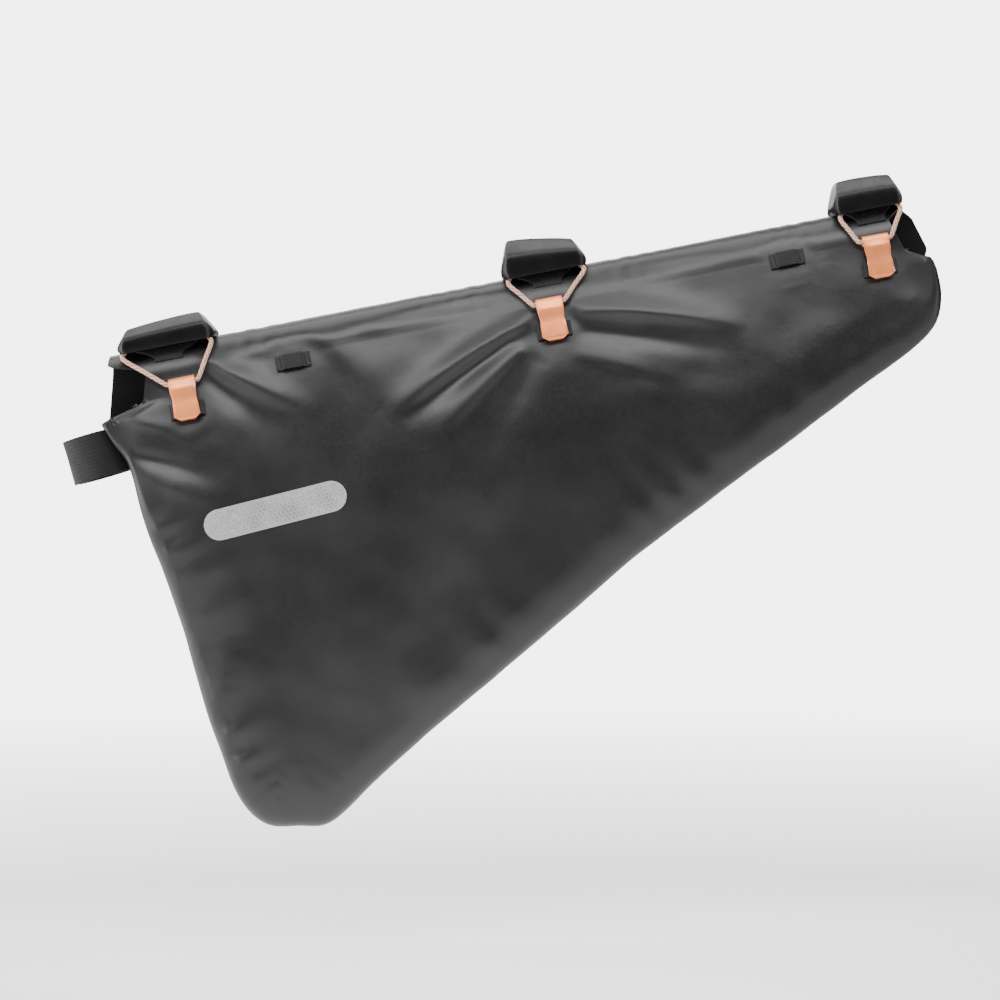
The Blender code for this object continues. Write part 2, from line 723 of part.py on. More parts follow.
def main():
    clear_scene()
    fabric = material("coated fabric", (0.028, 0.029, 0.030), 0.52)
    rubber = material("pad rubber", (0.012, 0.012, 0.013), 0.6)
    webbing = material("webbing", (0.014, 0.014, 0.015), 0.8)
    cord = material("orange cord", (0.62, 0.24, 0.13), 0.7)
    anodised = material("orange anodised metal", (0.82, 0.30, 0.12), 0.32, 1.0)
    reflective = material("reflective patch", (0.52, 0.53, 0.54), 0.35)

    outer = pouch_rings(0.0)
    surface = BVHTree.FromPolygons([point for ring in outer for point in ring], tube_faces(outer, 0))
    make_pouch(outer, fabric)
    make_label(surface, reflective)

    for name, place, length, rear, front, ahead, drop in CLOSURES:
        centre = tube_frame(place * POUCH_LENGTH)
        half_length = 0.5 * PAD_LENGTH * length
        make_pad(f"saddle_pad_{name}", centre, half_length, rear * PAD_HEIGHT, front * PAD_HEIGHT, rubber)
        below = centre + TUBE_ALONG * ahead * PAD_LENGTH - TUBE_UP * drop * HOOK_REACH
        frame = panel_frame(surface, below.x, below.z, *loop_ground())
        make_webbing_loop(f"hook_loop_{name}", frame, webbing)
        make_hook(f"hook_{name}", frame, anodised)
        make_cord(f"cord_loop_{name}", centre, half_length, frame, cord)

    for name, place, drop in FREE_LOOPS:
        below = tube_frame(place * POUCH_LENGTH) - TUBE_UP * drop * HOOK_REACH
        frame = panel_frame(surface, below.x, below.z, *loop_ground())
        make_webbing_loop(f"free_loop_{name}", frame, webbing)

    make_seat_strap(webbing)


main()
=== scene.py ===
"""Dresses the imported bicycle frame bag: its cloth, saddles, cords, hooks, webbing and a studio."""

import math
from contextlib import contextmanager

import bpy
import numpy as np
from mathutils import Matrix, Vector, noise
from mathutils.bvhtree import BVHTree


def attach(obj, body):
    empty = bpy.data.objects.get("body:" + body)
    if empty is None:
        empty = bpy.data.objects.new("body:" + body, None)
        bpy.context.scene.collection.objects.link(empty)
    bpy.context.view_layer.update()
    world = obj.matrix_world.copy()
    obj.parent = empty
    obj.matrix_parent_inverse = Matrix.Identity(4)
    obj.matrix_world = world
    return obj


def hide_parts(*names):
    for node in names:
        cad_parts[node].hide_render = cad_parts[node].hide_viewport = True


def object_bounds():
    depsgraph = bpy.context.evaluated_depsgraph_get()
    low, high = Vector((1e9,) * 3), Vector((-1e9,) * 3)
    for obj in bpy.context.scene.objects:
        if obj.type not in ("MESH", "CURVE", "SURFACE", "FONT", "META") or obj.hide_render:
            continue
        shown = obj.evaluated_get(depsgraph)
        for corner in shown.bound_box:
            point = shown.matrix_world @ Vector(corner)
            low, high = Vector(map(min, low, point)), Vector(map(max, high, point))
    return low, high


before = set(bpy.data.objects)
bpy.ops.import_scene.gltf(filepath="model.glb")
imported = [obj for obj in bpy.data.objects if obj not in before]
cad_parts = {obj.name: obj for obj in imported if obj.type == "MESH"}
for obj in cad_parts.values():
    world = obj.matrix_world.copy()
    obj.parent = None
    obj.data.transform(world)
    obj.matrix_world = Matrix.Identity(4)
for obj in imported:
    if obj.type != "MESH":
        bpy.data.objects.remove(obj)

bl_info = {
    "name": "Frame Bag Dresser",
    "version": (1, 0, 0),
    "blender": (4, 5, 0),
    "location": "View3D > Sidebar > Frame Bag",
    "description": "Builds the dressed bicycle frame bag on its packed frame",
    "category": "Object",
}

CAD_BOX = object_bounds()

# The tube that the bag is worn on
TUBE_SLOPE = math.radians(11.0)
TUBE_ALONG = Vector((math.cos(TUBE_SLOPE), 0.0, math.sin(TUBE_SLOPE)))
TUBE_UP = Vector((-math.sin(TUBE_SLOPE), 0.0, math.cos(TUBE_SLOPE)))
ACROSS = Vector((0.0, 1.0, 0.0))
TUNNEL_OUTER = 0.020  # radius of the cloth wrapped over it

# The pouch's sizes, as in the solids
POUCH_LENGTH = 0.504
POUCH_DEPTH = 0.266
BELLY_HALF_WIDTH = 0.034
BELLY_RETURN = 0.0022
KNEE_DROP = 0.072
KNEE_SHARPNESS = 7.0
SHOULDER_DROP = 0.080
EDGE_ALONG = 0.028
EDGE_ACROSS = 0.013
CLOTH_WALL = 0.0013
ARC_STEPS = 12  # points from the tube's top to its side
CORNER_STEPS = 11
NEAR_PANEL = -0.008  # cloth further out than this belongs to the near panel

SECTIONS = (
    # axis_x, edge_x, edge_drop, fullness, rounding
    (-0.5212, -0.5248, 0.004, 0.12, 0.10),
    (-0.5089, -0.5096, 0.053, 0.24, 0.16),
    (-0.4960, -0.4906, 0.111, 0.38, 0.30),
    (-0.4762, -0.4715, 0.248, 0.58, 0.62),
    (-0.4484, -0.4391, 0.431, 0.76, 0.95),
    (-0.4127, -0.4091, 0.642, 0.88, 1.00),
    (-0.3770, -0.3857, 0.788, 0.90, 1.00),
    (-0.3492, -0.3623, 0.906, 0.84, 0.95),
    (-0.3234, -0.3310, 0.977, 0.76, 0.90),
    (-0.2937, -0.2906, 0.996, 0.74, 0.90),
    (-0.2619, -0.2525, 1.000, 0.80, 0.95),
    (-0.1984, -0.2010, 0.930, 0.92, 1.00),
    (-0.1230, -0.1172, 0.816, 1.00, 1.00),
    (-0.0278, -0.0067, 0.680, 1.00, 1.00),
    (0.0754, 0.1037, 0.543, 0.96, 1.00),
    (0.1786, 0.2104, 0.427, 0.88, 0.95),
    (0.2778, 0.3171, 0.315, 0.74, 0.85),
    (0.3571, 0.3933, 0.235, 0.54, 0.70),
    (0.4028, 0.4390, 0.186, 0.38, 0.60),
    (0.4226, 0.4675, 0.139, 0.26, 0.52),
    (0.4345, 0.4744, 0.077, 0.17, 0.45),
    (0.4464, 0.4706, 0.021, 0.10, 0.40),
)

# Notches in the near side's rim at the tunnel's two mouths, a little deeper than in the solids
NOTCHES = (
    # rim_x, depth, far_depth, reach, top, foot, fade
    (-0.5212, 0.0250, 0.0000, 0.048, 0.0050, -0.0115, 0.0095),
    (0.4464, -0.0130, 0.0060, 0.036, 0.0090, -0.0080, 0.0110),
)

# Folds of the near panel in millimetres: three points of the crest, how far it stands out
# (less than nothing for a valley), its half width at both ends, and how sharp the crest is.
NEAR_FOLDS = (
    # x0, z0, x1, z1, x2, z2, rise, width0, width1, sharp
    (-201, -34, -180, -47, -132, -66, 4.2, 6.0, 11.0, 0.7),
    (-196, -47, -178, -63, -150, -80, -1.8, 6.0, 12.0, 0.2),
    (-262, -69, -240, -70, -205, -80, 1.8, 4.0, 8.0, 0.5),
    (-252, -90, -222, -94, -188, -107, -2.0, 5.0, 9.0, 0.2),
    (-232, -106, -212, -113, -184, -119, 1.1, 6.0, 11.0, 0.2),
    (-9, -10, -50, -34, -93, -67, 5.6, 6.5, 9.5, 0.7),
    (-22, -22, -56, -47, -84, -72, -2.6, 5.0, 8.0, 0.3),
    (-15, -29, -40, -51, -68, -86, 3.0, 5.5, 9.5, 0.6),
    (-6, -36, -22, -64, -40, -104, -1.2, 7.0, 12.0, 0.2),
    (7, -30, 0, -60, -16, -102, 0.7, 10.0, 18.0, 0.2),
    (24, -4, 66, -3, 122, -13, 4.8, 8.0, 8.5, 0.7),
    (26, 20, 66, 24, 112, 31, -3.0, 8.0, 5.0, 0.2),
    (27, -17, 70, -21, 122, -30, -1.5, 5.0, 8.0, 0.2),
    (24, -31, 60, -40, 92, -45, 1.1, 6.0, 8.0, 0.3),
    (60, -40, 100, -44, 140, -36, -1.0, 10.0, 12.0, 0.2),
    (-18, 7, -60, -1, -104, -10, -3.0, 8.0, 5.0, 0.2),
    (-140, -12, -110, -34, -96, -60, 1.2, 9.0, 14.0, 0.2),
    (212, 2, 226, 1, 240, -4, 1.0, 6.0, 7.0, 0.2),
    (196, -2, 140, -44, 70, -80, 1.2, 10.0, 22.0, 0.2),
    (-120, -84, -150, -150, -168, -216, -1.2, 14.0, 26.0, 0.2),
    (-30, -110, -70, -160, -110, -230, 1.0, 16.0, 26.0, 0.2),
    (-96, -240, -60, -224, -20, -190, 0.9, 12.0, 16.0, 0.2),
)

# The same for the far panel, which hangs more freely.
FAR_FOLDS = (
    # x0, z0, x1, z1, x2, z2, rise, width0, width1, sharp
    (-200, -60, -170, -110, -160, -190, 2.2, 9.0, 22.0, 0.3),
    (-10, -18, -50, -70, -80, -150, 2.4, 9.0, 22.0, 0.4),
    (16, -12, 40, -60, 46, -110, 1.8, 9.0, 18.0, 0.3),
    (190, 10, 140, -30, 80, -60, 1.8, 8.0, 16.0, 0.3),
    (-120, -30, -60, -22, 0, -14, -1.8, 10.0, 12.0, 0.2),
    (40, 0, 100, 8, 160, 20, -1.6, 9.0, 10.0, 0.2),
    (-190, -210, -160, -240, -130, -280, -1.8, 8.0, 12.0, 0.3),
)

# How the cloth puckers along the seam: places are shares of the way round the edge.
PUCKERS = (
    # start, end, rise, pitch
    (0.06, 0.30, 1.7, 23.0),
    (0.29, 0.43, 1.1, 19.0),
    (0.45, 0.92, 0.5, 29.0),
)

# Closures: the pad's middle on the tube's axis as a share of the pouch's length, the pad's
# length and heights in millimetres, and where the hook's webbing loop lies on the panel.
CLOSURES = (
    # name, place, length, rear_height, front_height, loop_origin, loop_out
    ("rear", -0.4405, 59.8, 14.0, 16.8, (-0.21220, -0.02608, -0.06370), (-0.0742, -0.9720, 0.2228)),
    ("middle", 0.0101, 52.0, 23.4, 17.2, (0.00685, -0.02637, -0.01620), (-0.0236, -0.9689, 0.2464)),
    ("front", 0.3956, 42.6, 19.9, 18.7, (0.20168, -0.02273, 0.02161), (0.0253, -0.9886, 0.1483)),
)
FREE_LOOPS = (
    # name, loop_origin, loop_out
    ("rear", (-0.14936, -0.02220, -0.03455), (-0.0416, -0.9693, 0.2423)),
    ("front", (0.14642, -0.02062, 0.02683), (-0.0425, -0.9726, 0.2285)),
)

# Hooks and webbing loops
HOOK_PLATE = 0.0015
HOOK_WIDTH = 0.016
HOOK_TIP_WIDTH = 0.009
HOOK_REACH = 0.0165
HOOK_TIP_RISE = 0.0055
EYE_STEPS = 21
BEND_STEPS = 13
LOOP_SPAN = 0.0114
LOOP_FOOT = 0.0036
LOOP_HEIGHT = 0.009
LOOP_THICKNESS = 0.0012
LOOP_KNEE = 0.0011
LOOP_PULL_SPREAD = 0.046
LOOP_HOLD = 0.021
STITCHES = 11
STITCH_RADIUS = 0.00027
STITCH_LENGTH = 0.0021
GAP = 0.0003
SURFACE_GAP = 0.00045
CORD_OF_SOLIDS = 0.0013  # radius of the cord that the hook's eye is bent for
CORD_CLEARANCE = 0.0004
CORD_EXIT = (
    # back from the pad's end, out from the bore, down from the bore
    (0.0090, 0.0000, 0.0000),
    (0.0060, 0.0020, 0.0006),
    (0.0040, 0.0054, 0.0028),
    (0.0032, 0.0080, 0.0064),
)

# Where a loop's middle and a hook's eye stand, and the axes of a piece modelled at the origin
LOOP_RISE = SURFACE_GAP + HOOK_PLATE + GAP + 0.5 * LOOP_THICKNESS
EYE_SPOT = (HOOK_REACH, 2 * GAP + SURFACE_GAP + HOOK_PLATE + CORD_OF_SOLIDS)
FLAT_ALONG = Vector((1.0, 0.0, 0.0))
FLAT_UP = Vector((0.0, 0.0, 1.0))
FLAT_OUT = Vector((0.0, -1.0, 0.0))

# The outline of a saddle across the tube: shares of its half width and of its height, from the
# middle of its top over the slanted shoulder and down its side.
SADDLE_ACROSS = (
    # across, up
    (0.00, 1.000), (0.20, 0.997), (0.38, 0.990), (0.53, 0.975), (0.63, 0.945),
    (0.93, 0.640), (0.99, 0.540), (1.00, 0.280), (0.985, 0.000),
)
# Its outline along the tube: share of its half length at a share of its height.
SADDLE_ALONG = ((0.00, 0.955), (0.17, 0.995), (0.27, 1.000), (0.86, 0.800), (1.00, 0.725))
SADDLE_STEPS = (0.0, 0.16, 0.32, 0.48, 0.64, 0.79, 0.90, 0.965, 1.0)

# Seat tube strap
SEAT_TUBE_RADIUS = 0.0155
SEAT_TUBE_LEAN = math.radians(16.3)
SEAT_STRAP_RADIUS = 0.0162
SEAT_STRAP_THICKNESS = 0.0018
SEAT_STRAP_WIDTH = 0.027
SEAT_STRAP_PLACE = (-0.530, 0.069)
STRAP_BEGIN = math.radians(100)
STRAP_OVERLAP = math.radians(80)

# Label patch
LABEL_LENGTH = 0.087
LABEL_WIDTH = 0.0185
LABEL_TILT = math.radians(14.3)
LABEL_CENTRE = Vector((-0.1593, 0.0, -0.1237))
LABEL_THICKNESS = 0.0008
LABEL_LIFT = 0.0006
LABEL_RIM = 0.0013

# Studio
WHITE_SEEN = 5.2  # how bright the studio's white looks to the camera
CAMERA_LENS = 120.0
CAMERA_SENSOR = 36.0
LIGHTS_TARGET = (-0.03, 0.0, -0.10)
SOFTBOXES = (
    # name, spot, width, height, share of the key's power
    ("front_softbox", (0.0, -1.5, 1.35), 3.0, 0.90, 1.65),
    ("top_softbox", (0.0, 0.05, 1.5), 2.4, 1.2, 0.85),
    ("left_softbox", (-1.8, -0.15, 0.15), 2.2, 1.4, 1.45),
    ("left_fill", (-1.35, -1.4, 0.2), 0.9, 1.3, 0.12),
    ("right_softbox", (1.9, -0.5, -0.05), 0.7, 1.0, 0.14),
    ("back_softbox", (0.0, 1.9, 0.85), 3.0, 1.2, 0.8),
)


# Settings that a user would change


class ClothSettings(bpy.types.PropertyGroup):
    """Looks of the coated cloth"""

    colour: bpy.props.FloatVectorProperty(
        name="Colour", description="Colour of the coated cloth", subtype="COLOR", size=3,
        min=0.0, max=1.0, default=(0.0052, 0.0053, 0.0055),
    )
    # Colour of rubbed spots and of the painted highlight on the crests of folds and seams.
    worn_and_highlight_colour: bpy.props.FloatVectorProperty(
        name="Worn Colour", description="Colour where folds and seams have been rubbed", subtype="COLOR",
        size=3, min=0.0, max=1.0, default=(0.018, 0.0182, 0.0186),
    )
    fold_depth: bpy.props.FloatProperty(
        name="Fold Depth", description="Share of the folds' full depth", subtype="FACTOR",
        min=0.0, max=1.5, default=1.0,
    )
    weave_pitch: bpy.props.FloatProperty(
        name="Weave Pitch", description="Distance between threads under the coating", unit="LENGTH",
        min=0.0002, max=0.003, default=0.00062,
    )


class HardwareSettings(bpy.types.PropertyGroup):
    """Looks and sizes of the hooks and cords"""

    hook_colour: bpy.props.FloatVectorProperty(
        name="Hook Colour", description="Colour of the anodised hooks", subtype="COLOR", size=3,
        min=0.0, max=1.0, default=(0.95, 0.31, 0.11),
    )
    cord_colour: bpy.props.FloatVectorProperty(
        name="Cord Colour", description="Colour of the braided cord", subtype="COLOR", size=3,
        min=0.0, max=1.0, default=(0.56, 0.27, 0.18),
    )
    cord_radius: bpy.props.FloatProperty(
        name="Cord Radius", description="Half the cord's thickness", unit="LENGTH",
        min=0.0005, max=0.003, default=0.0014,
    )


class StudioSettings(bpy.types.PropertyGroup):
    """The floor, the lights and the camera"""

    floor_drop: bpy.props.FloatProperty(
        name="Floor Drop", description="How far the floor lies below the bag", unit="LENGTH",
        min=0.01, max=1.0, default=0.075,
    )
    floor_colour: bpy.props.FloatVectorProperty(
        name="Floor Colour", description="Colour of the plain floor", subtype="COLOR", size=3,
        min=0.0, max=1.0, default=(0.82, 0.82, 0.82),
    )
    picture_width: bpy.props.FloatProperty(
        name="Picture Width", description="Width that the camera takes in at the bag", unit="LENGTH",
        min=0.1, max=3.0, default=0.605,
    )
    key_power: bpy.props.FloatProperty(
        name="Key Power", description="Power of the large soft light in front", unit="POWER",
        min=0.0, max=500.0, default=40.0,
    )


# Modelling helpers


def start_primitive():
    """Leaves edit mode with nothing selected, ready for a new primitive."""
    if bpy.context.object is not None and bpy.context.object.mode != "OBJECT":
        bpy.ops.object.mode_set(mode="OBJECT")
    bpy.ops.object.select_all(action="DESELECT")


def pick(piece):
    start_primitive()
    piece.select_set(True)
    bpy.context.view_layer.objects.active = piece


@contextmanager
def editing(piece):
    """Edit mode on one piece, with all of it selected."""
    pick(piece)
    bpy.ops.object.mode_set(mode="EDIT")
    bpy.ops.mesh.select_all(action="SELECT")
    yield
    bpy.ops.object.mode_set(mode="OBJECT")


def name_piece(piece, name):
    piece.name = name
    piece.data.name = name
    return piece


def apply_modifiers(piece):
    pick(piece)
    for modifier in list(piece.modifiers):
        bpy.ops.object.modifier_apply(modifier=modifier.name)


def add_subdivision(piece, levels):
    made = piece.modifiers.new("smooth", "SUBSURF")
    made.levels = levels
    made.render_levels = levels


def add_bevel(piece, width, segments):
    made = piece.modifiers.new("edges", "BEVEL")
    made.width = width
    made.segments = segments
    made.limit_method = "ANGLE"
    made.angle_limit = math.radians(30.0)


def add_wall(piece, thickness, offset=-1.0, even=False, lined=False):
    made = piece.modifiers.new("wall", "SOLIDIFY")
    made.thickness = thickness
    made.offset = offset
    made.use_even_offset = even
    made.material_offset = 1 if lined else 0


def face_outwards(piece):
    """Recalculates the normals of a closed or open shell."""
    with editing(piece):
        bpy.ops.mesh.normals_make_consistent(inside=False)


def merge_doubles(piece, distance):
    with editing(piece):
        bpy.ops.mesh.remove_doubles(threshold=distance)


def smooth_shading(piece, angle):
    pick(piece)
    bpy.ops.object.shade_smooth_by_angle(angle=math.radians(angle))


def finish_mesh(piece, angle):
    """Applies the modifiers, turns the faces outwards and shades them smoothly."""
    apply_modifiers(piece)
    face_outwards(piece)
    smooth_shading(piece, angle)
    return piece


def move_points(piece, points):
    piece.data.vertices.foreach_set("co", np.asarray(points, dtype=np.float32).ravel())
    piece.data.update()


def read_points(piece, what="co"):
    """The piece's points, or their normals, as rows of three."""
    rows = np.empty(len(piece.data.vertices) * 3, dtype=np.float32)
    piece.data.vertices.foreach_get(what, rows)
    return rows.reshape(-1, 3).astype(np.float64)


def store_mask(piece, name, values):
    """Keeps one value a point for the materials to read."""
    made = piece.data.attributes.get(name) or piece.data.attributes.new(name, "FLOAT", "POINT")
    made.data.foreach_set("value", np.asarray(values, dtype=np.float32).ravel())


def cloth_grid(name, points, lengths):
    """A grid whose points are laid out as rows by columns, with its UV map in metres."""
    rows, columns = points.shape[:2]
    start_primitive()
    bpy.ops.mesh.primitive_grid_add(x_subdivisions=columns - 1, y_subdivisions=rows - 1, size=1.0)
    piece = name_piece(bpy.context.object, name)
    move_points(piece, points.reshape(-1, 3))
    flat = lengths.reshape(-1, 2)
    corners = np.empty(len(piece.data.loops), dtype=np.int32)
    piece.data.loops.foreach_get("vertex_index", corners)
    piece.data.uv_layers[0].data.foreach_set("uv", flat[corners].astype(np.float32).ravel())
    return piece


def grid_lengths(points):
    """Distances along the rows and the columns of a grid of points."""
    lengths = np.zeros(points.shape[:2] + (2,))
    lengths[:, 1:, 0] = np.cumsum(np.linalg.norm(np.diff(points, axis=1), axis=2), axis=1)
    lengths[1:, :, 1] = np.cumsum(np.linalg.norm(np.diff(points, axis=0), axis=2), axis=0)
    return lengths


def dress(piece, finish, node=None):
    """Gives a finished piece its material and its body, and hides the solid that it stands for."""
    if not piece.data.materials:
        piece.data.materials.append(finish)
    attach(piece, "root")
    if node is not None:
        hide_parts(node)
    return piece


def ramp(value, start, width):
    """0 up to the start, then evenly up to 1 over the width."""
    return np.clip((value - start) / width, 0.0, 1.0)


def soften(share):
    """Rounds both ends of a ramp."""
    return share * share * (3 - 2 * share)


def bell(away, width):
    return np.exp(-((away / width) ** 2))


# Shader helpers


class Shading:
    """A shader tree being built, with short calls for the nodes that it uses most."""

    def __init__(self, tree):
        self.tree = tree

    def feed(self, target, value):
        """Joins a socket to the target, or sets the target's own value."""
        if isinstance(value, bpy.types.NodeSocket):
            self.tree.links.new(value, target)
        elif target.type == "RGBA" and len(value) == 3:
            target.default_value = (*value, 1.0)
        else:
            target.default_value = value

    def add(self, kind, values=None, **settings):
        made = self.tree.nodes.new(kind)
        for name, value in settings.items():
            setattr(made, name, value)
        for name, value in (values or {}).items():
            self.feed(made.inputs[name], value)
        return made

    def math(self, operation, *values):
        return self.add("ShaderNodeMath", dict(enumerate(values)), operation=operation).outputs[0]

    def times(self, first, second):
        return self.math("MULTIPLY", first, second)

    def plus(self, first, second):
        return self.math("ADD", first, second)

    def mix(self, share, first, second):
        return self.add("ShaderNodeMix", {0: share, 6: first, 7: second}, data_type="RGBA").outputs[2]

    def mix_shaders(self, share, first, second):
        return self.add("ShaderNodeMixShader", {0: share, 1: first, 2: second}).outputs[0]

    def remap(self, value, low, high, new_low, new_high):
        values = dict(enumerate((value, low, high, new_low, new_high)))
        return self.add("ShaderNodeMapRange", values).outputs[0]

    def split(self, vector):
        return self.add("ShaderNodeSeparateXYZ", {0: vector}).outputs

    def noise(self, vector, scale, detail, roughness=0.5):
        values = {"Vector": vector, "Scale": scale, "Detail": detail, "Roughness": roughness}
        return self.add("ShaderNodeTexNoise", values).outputs

    def use(self, name, values):
        return self.add("ShaderNodeGroup", values, node_tree=bpy.data.node_groups[name]).outputs

    def mottle(self, patch_scale, grain_scale):
        values = {"Vector": self.place(), "Patch Scale": patch_scale, "Grain Scale": grain_scale}
        made = self.use("Mottle", values)
        return made["Patches"], made["Grains"]

    def mask(self, name):
        return self.add("ShaderNodeAttribute", attribute_name=name).outputs["Fac"]

    def seen_by_camera(self):
        return self.add("ShaderNodeLightPath").outputs["Is Camera Ray"]

    def place(self, kind="Object"):
        return self.add("ShaderNodeTexCoord").outputs[kind]


def new_group(name, inputs, outputs):
    """A shader group with named inputs, None for a vector, and values as its outputs."""
    if name in bpy.data.node_groups:
        bpy.data.node_groups.remove(bpy.data.node_groups[name])
    tree = bpy.data.node_groups.new(name, "ShaderNodeTree")
    for label, default in inputs.items():
        kind = "NodeSocketVector" if default is None else "NodeSocketFloat"
        made = tree.interface.new_socket(name=label, in_out="INPUT", socket_type=kind)
        if default is not None:
            made.default_value = default
    for label in outputs:
        tree.interface.new_socket(name=label, in_out="OUTPUT", socket_type="NodeSocketFloat")
    given = tree.nodes.new("NodeGroupInput").outputs
    return Shading(tree), given, tree.nodes.new("NodeGroupOutput").inputs


def build_weave_group():
    """Plain weave: threads that pass over and under each other."""
    on, given, result = new_group("Plain Weave", {"Vector": None, "Pitch": 0.001}, ("Height",))
    x, y, _ = on.split(given["Vector"])
    turns = on.math("DIVIDE", math.pi, given["Pitch"])
    over = on.times(on.math("SINE", on.times(x, turns)), on.math("SINE", on.times(y, turns)))
    on.feed(result["Height"], on.remap(over, -1.0, 1.0, 0.0, 1.0))


def build_ribbing_group():
    """Webbing: ribs along the strap, crossed by finer threads."""
    on, given, result = new_group("Webbing Ribs", {"Vector": None, "Pitch": 0.0016}, ("Height", "Groove"))
    x, y, _ = on.split(given["Vector"])
    turns = on.math("DIVIDE", 2 * math.pi, given["Pitch"])
    rib = on.math("SINE", on.times(x, turns))
    thread = on.math("SINE", on.plus(on.times(rib, 1.4), on.times(on.times(y, turns), 1.6)))
    both = on.plus(on.times(rib, 0.55), on.times(thread, 0.45))
    on.feed(result["Height"], on.remap(both, -1.0, 1.0, 0.0, 1.0))
    # The groove mask is for painted shade in the hollows between the ribs.
    on.feed(result["Groove"], on.remap(rib, -1.0, -0.2, 1.0, 0.0))


def build_braid_group():
    """Braid: strands that wind round the cord both ways."""
    inputs = {"Vector": None, "Strands": 5.0, "Pitch": 0.004}
    on, given, result = new_group("Cord Braid", inputs, ("Height", "Tracer"))
    x, y, _ = on.split(given["Vector"])
    round_it = on.times(on.times(y, 2 * math.pi), given["Strands"])
    along = on.times(on.math("DIVIDE", x, given["Pitch"]), 2 * math.pi)
    one = on.math("SINE", on.plus(round_it, along))
    other = on.math("SINE", on.math("SUBTRACT", round_it, along))
    on.feed(result["Height"], on.remap(on.math("MAXIMUM", one, other), -1.0, 1.0, 0.0, 1.0))
    on.feed(result["Tracer"], on.remap(one, 0.35, 0.75, 0.0, 1.0))


def build_mottle_group():
    """Uneven tone: broad cloudy patches and fine grains, each as a value about one half."""
    inputs = {"Vector": None, "Patch Scale": 18.0, "Grain Scale": 900.0}
    on, given, result = new_group("Mottle", inputs, ("Patches", "Grains"))
    on.feed(result["Patches"], on.noise(given["Vector"], given["Patch Scale"], 5.0, 0.6)[0])
    on.feed(result["Grains"], on.noise(given["Vector"], given["Grain Scale"], 2.0)[0])


def build_crease_group():
    """Fine crumpling of coated cloth: soft dents with faint ridges where they meet."""
    on, given, result = new_group("Fine Creases", {"Vector": None, "Scale": 40.0}, ("Height", "Line"))
    here, scale = given["Vector"], given["Scale"]
    bend = on.noise(here, 14.0, 3.0)["Color"]
    shifts = {0: bend, 1: (0.09, 0.09, 0.09), 2: here}
    warped = on.add("ShaderNodeVectorMath", shifts, operation="MULTIPLY_ADD").outputs[0]
    folds = on.noise(warped, scale, 2.0)[0]
    ridge = on.remap(on.math("ABSOLUTE", on.math("SUBTRACT", folds, 0.5)), 0.0, 0.12, 1.0, 0.0)
    broken = on.noise(here, 19.0, 2.0)[0]
    line = on.times(ridge, on.remap(broken, 0.42, 0.66, 0.0, 1.0))
    on.feed(result["Height"], on.plus(on.noise(here, scale, 4.0, 0.55)[0], on.times(line, 0.10)))
    on.feed(result["Line"], line)


def build_honeycomb_group():
    """Hexagonal cells of a reflective film, as two interleaved grids of points."""
    on, given, result = new_group("Honeycomb", {"Vector": None, "Cell": 0.003}, ("Wall", "Shade"))
    cells_a_metre = on.math("DIVIDE", 1.0, given["Cell"])
    values = {0: given["Vector"], "Scale": cells_a_metre}
    scaled = on.add("ShaderNodeVectorMath", values, operation="SCALE").outputs[0]
    x, y, _ = on.split(scaled)
    nearest = []
    for shift in (0.0, 0.5):
        across = on.math("FRACT", on.plus(x, shift))
        along = on.math("FRACT", on.plus(on.math("DIVIDE", y, math.sqrt(3.0)), shift))
        size_x = on.math("ABSOLUTE", on.math("SUBTRACT", across, 0.5))
        size_y = on.math("ABSOLUTE", on.times(on.math("SUBTRACT", along, 0.5), math.sqrt(3.0)))
        slanted = on.plus(on.times(size_x, 0.5), on.times(size_y, 0.866))
        nearest.append(on.math("MAXIMUM", size_x, slanted))
    on.feed(result["Wall"], on.remap(on.math("MINIMUM", *nearest), 0.42, 0.47, 0.0, 1.0))
    on.feed(result["Shade"], on.noise(scaled, 1.1, 0.0)[0])


def build_groups():
    build_weave_group()
    build_ribbing_group()
    build_braid_group()
    build_mottle_group()
    build_crease_group()
    build_honeycomb_group()


# Materials


class Finish(Shading):
    """A material being built, whose constant values stand on its shader's own sockets."""

    def __init__(self, name, constants):
        made = bpy.data.materials.new(name)
        made.use_nodes = True
        super().__init__(made.node_tree)
        self.shader = made.node_tree.nodes["Principled BSDF"]
        for label, value in constants.items():
            self.shader.inputs[label].default_value = value

    def give(self, colour, roughness, bumps=()):
        """Feeds the shader its colour, its roughness and a chain of (height, strength, distance)."""
        self.feed(self.shader.inputs["Base Color"], colour)
        self.feed(self.shader.inputs["Roughness"], roughness)
        target = self.shader.inputs["Normal"]
        for height, strength, distance in reversed(bumps):
            bump = self.add("ShaderNodeBump", {"Strength": strength, "Distance": distance, "Height": height})
            self.feed(target, bump.outputs[0])
            target = bump.inputs["Normal"]


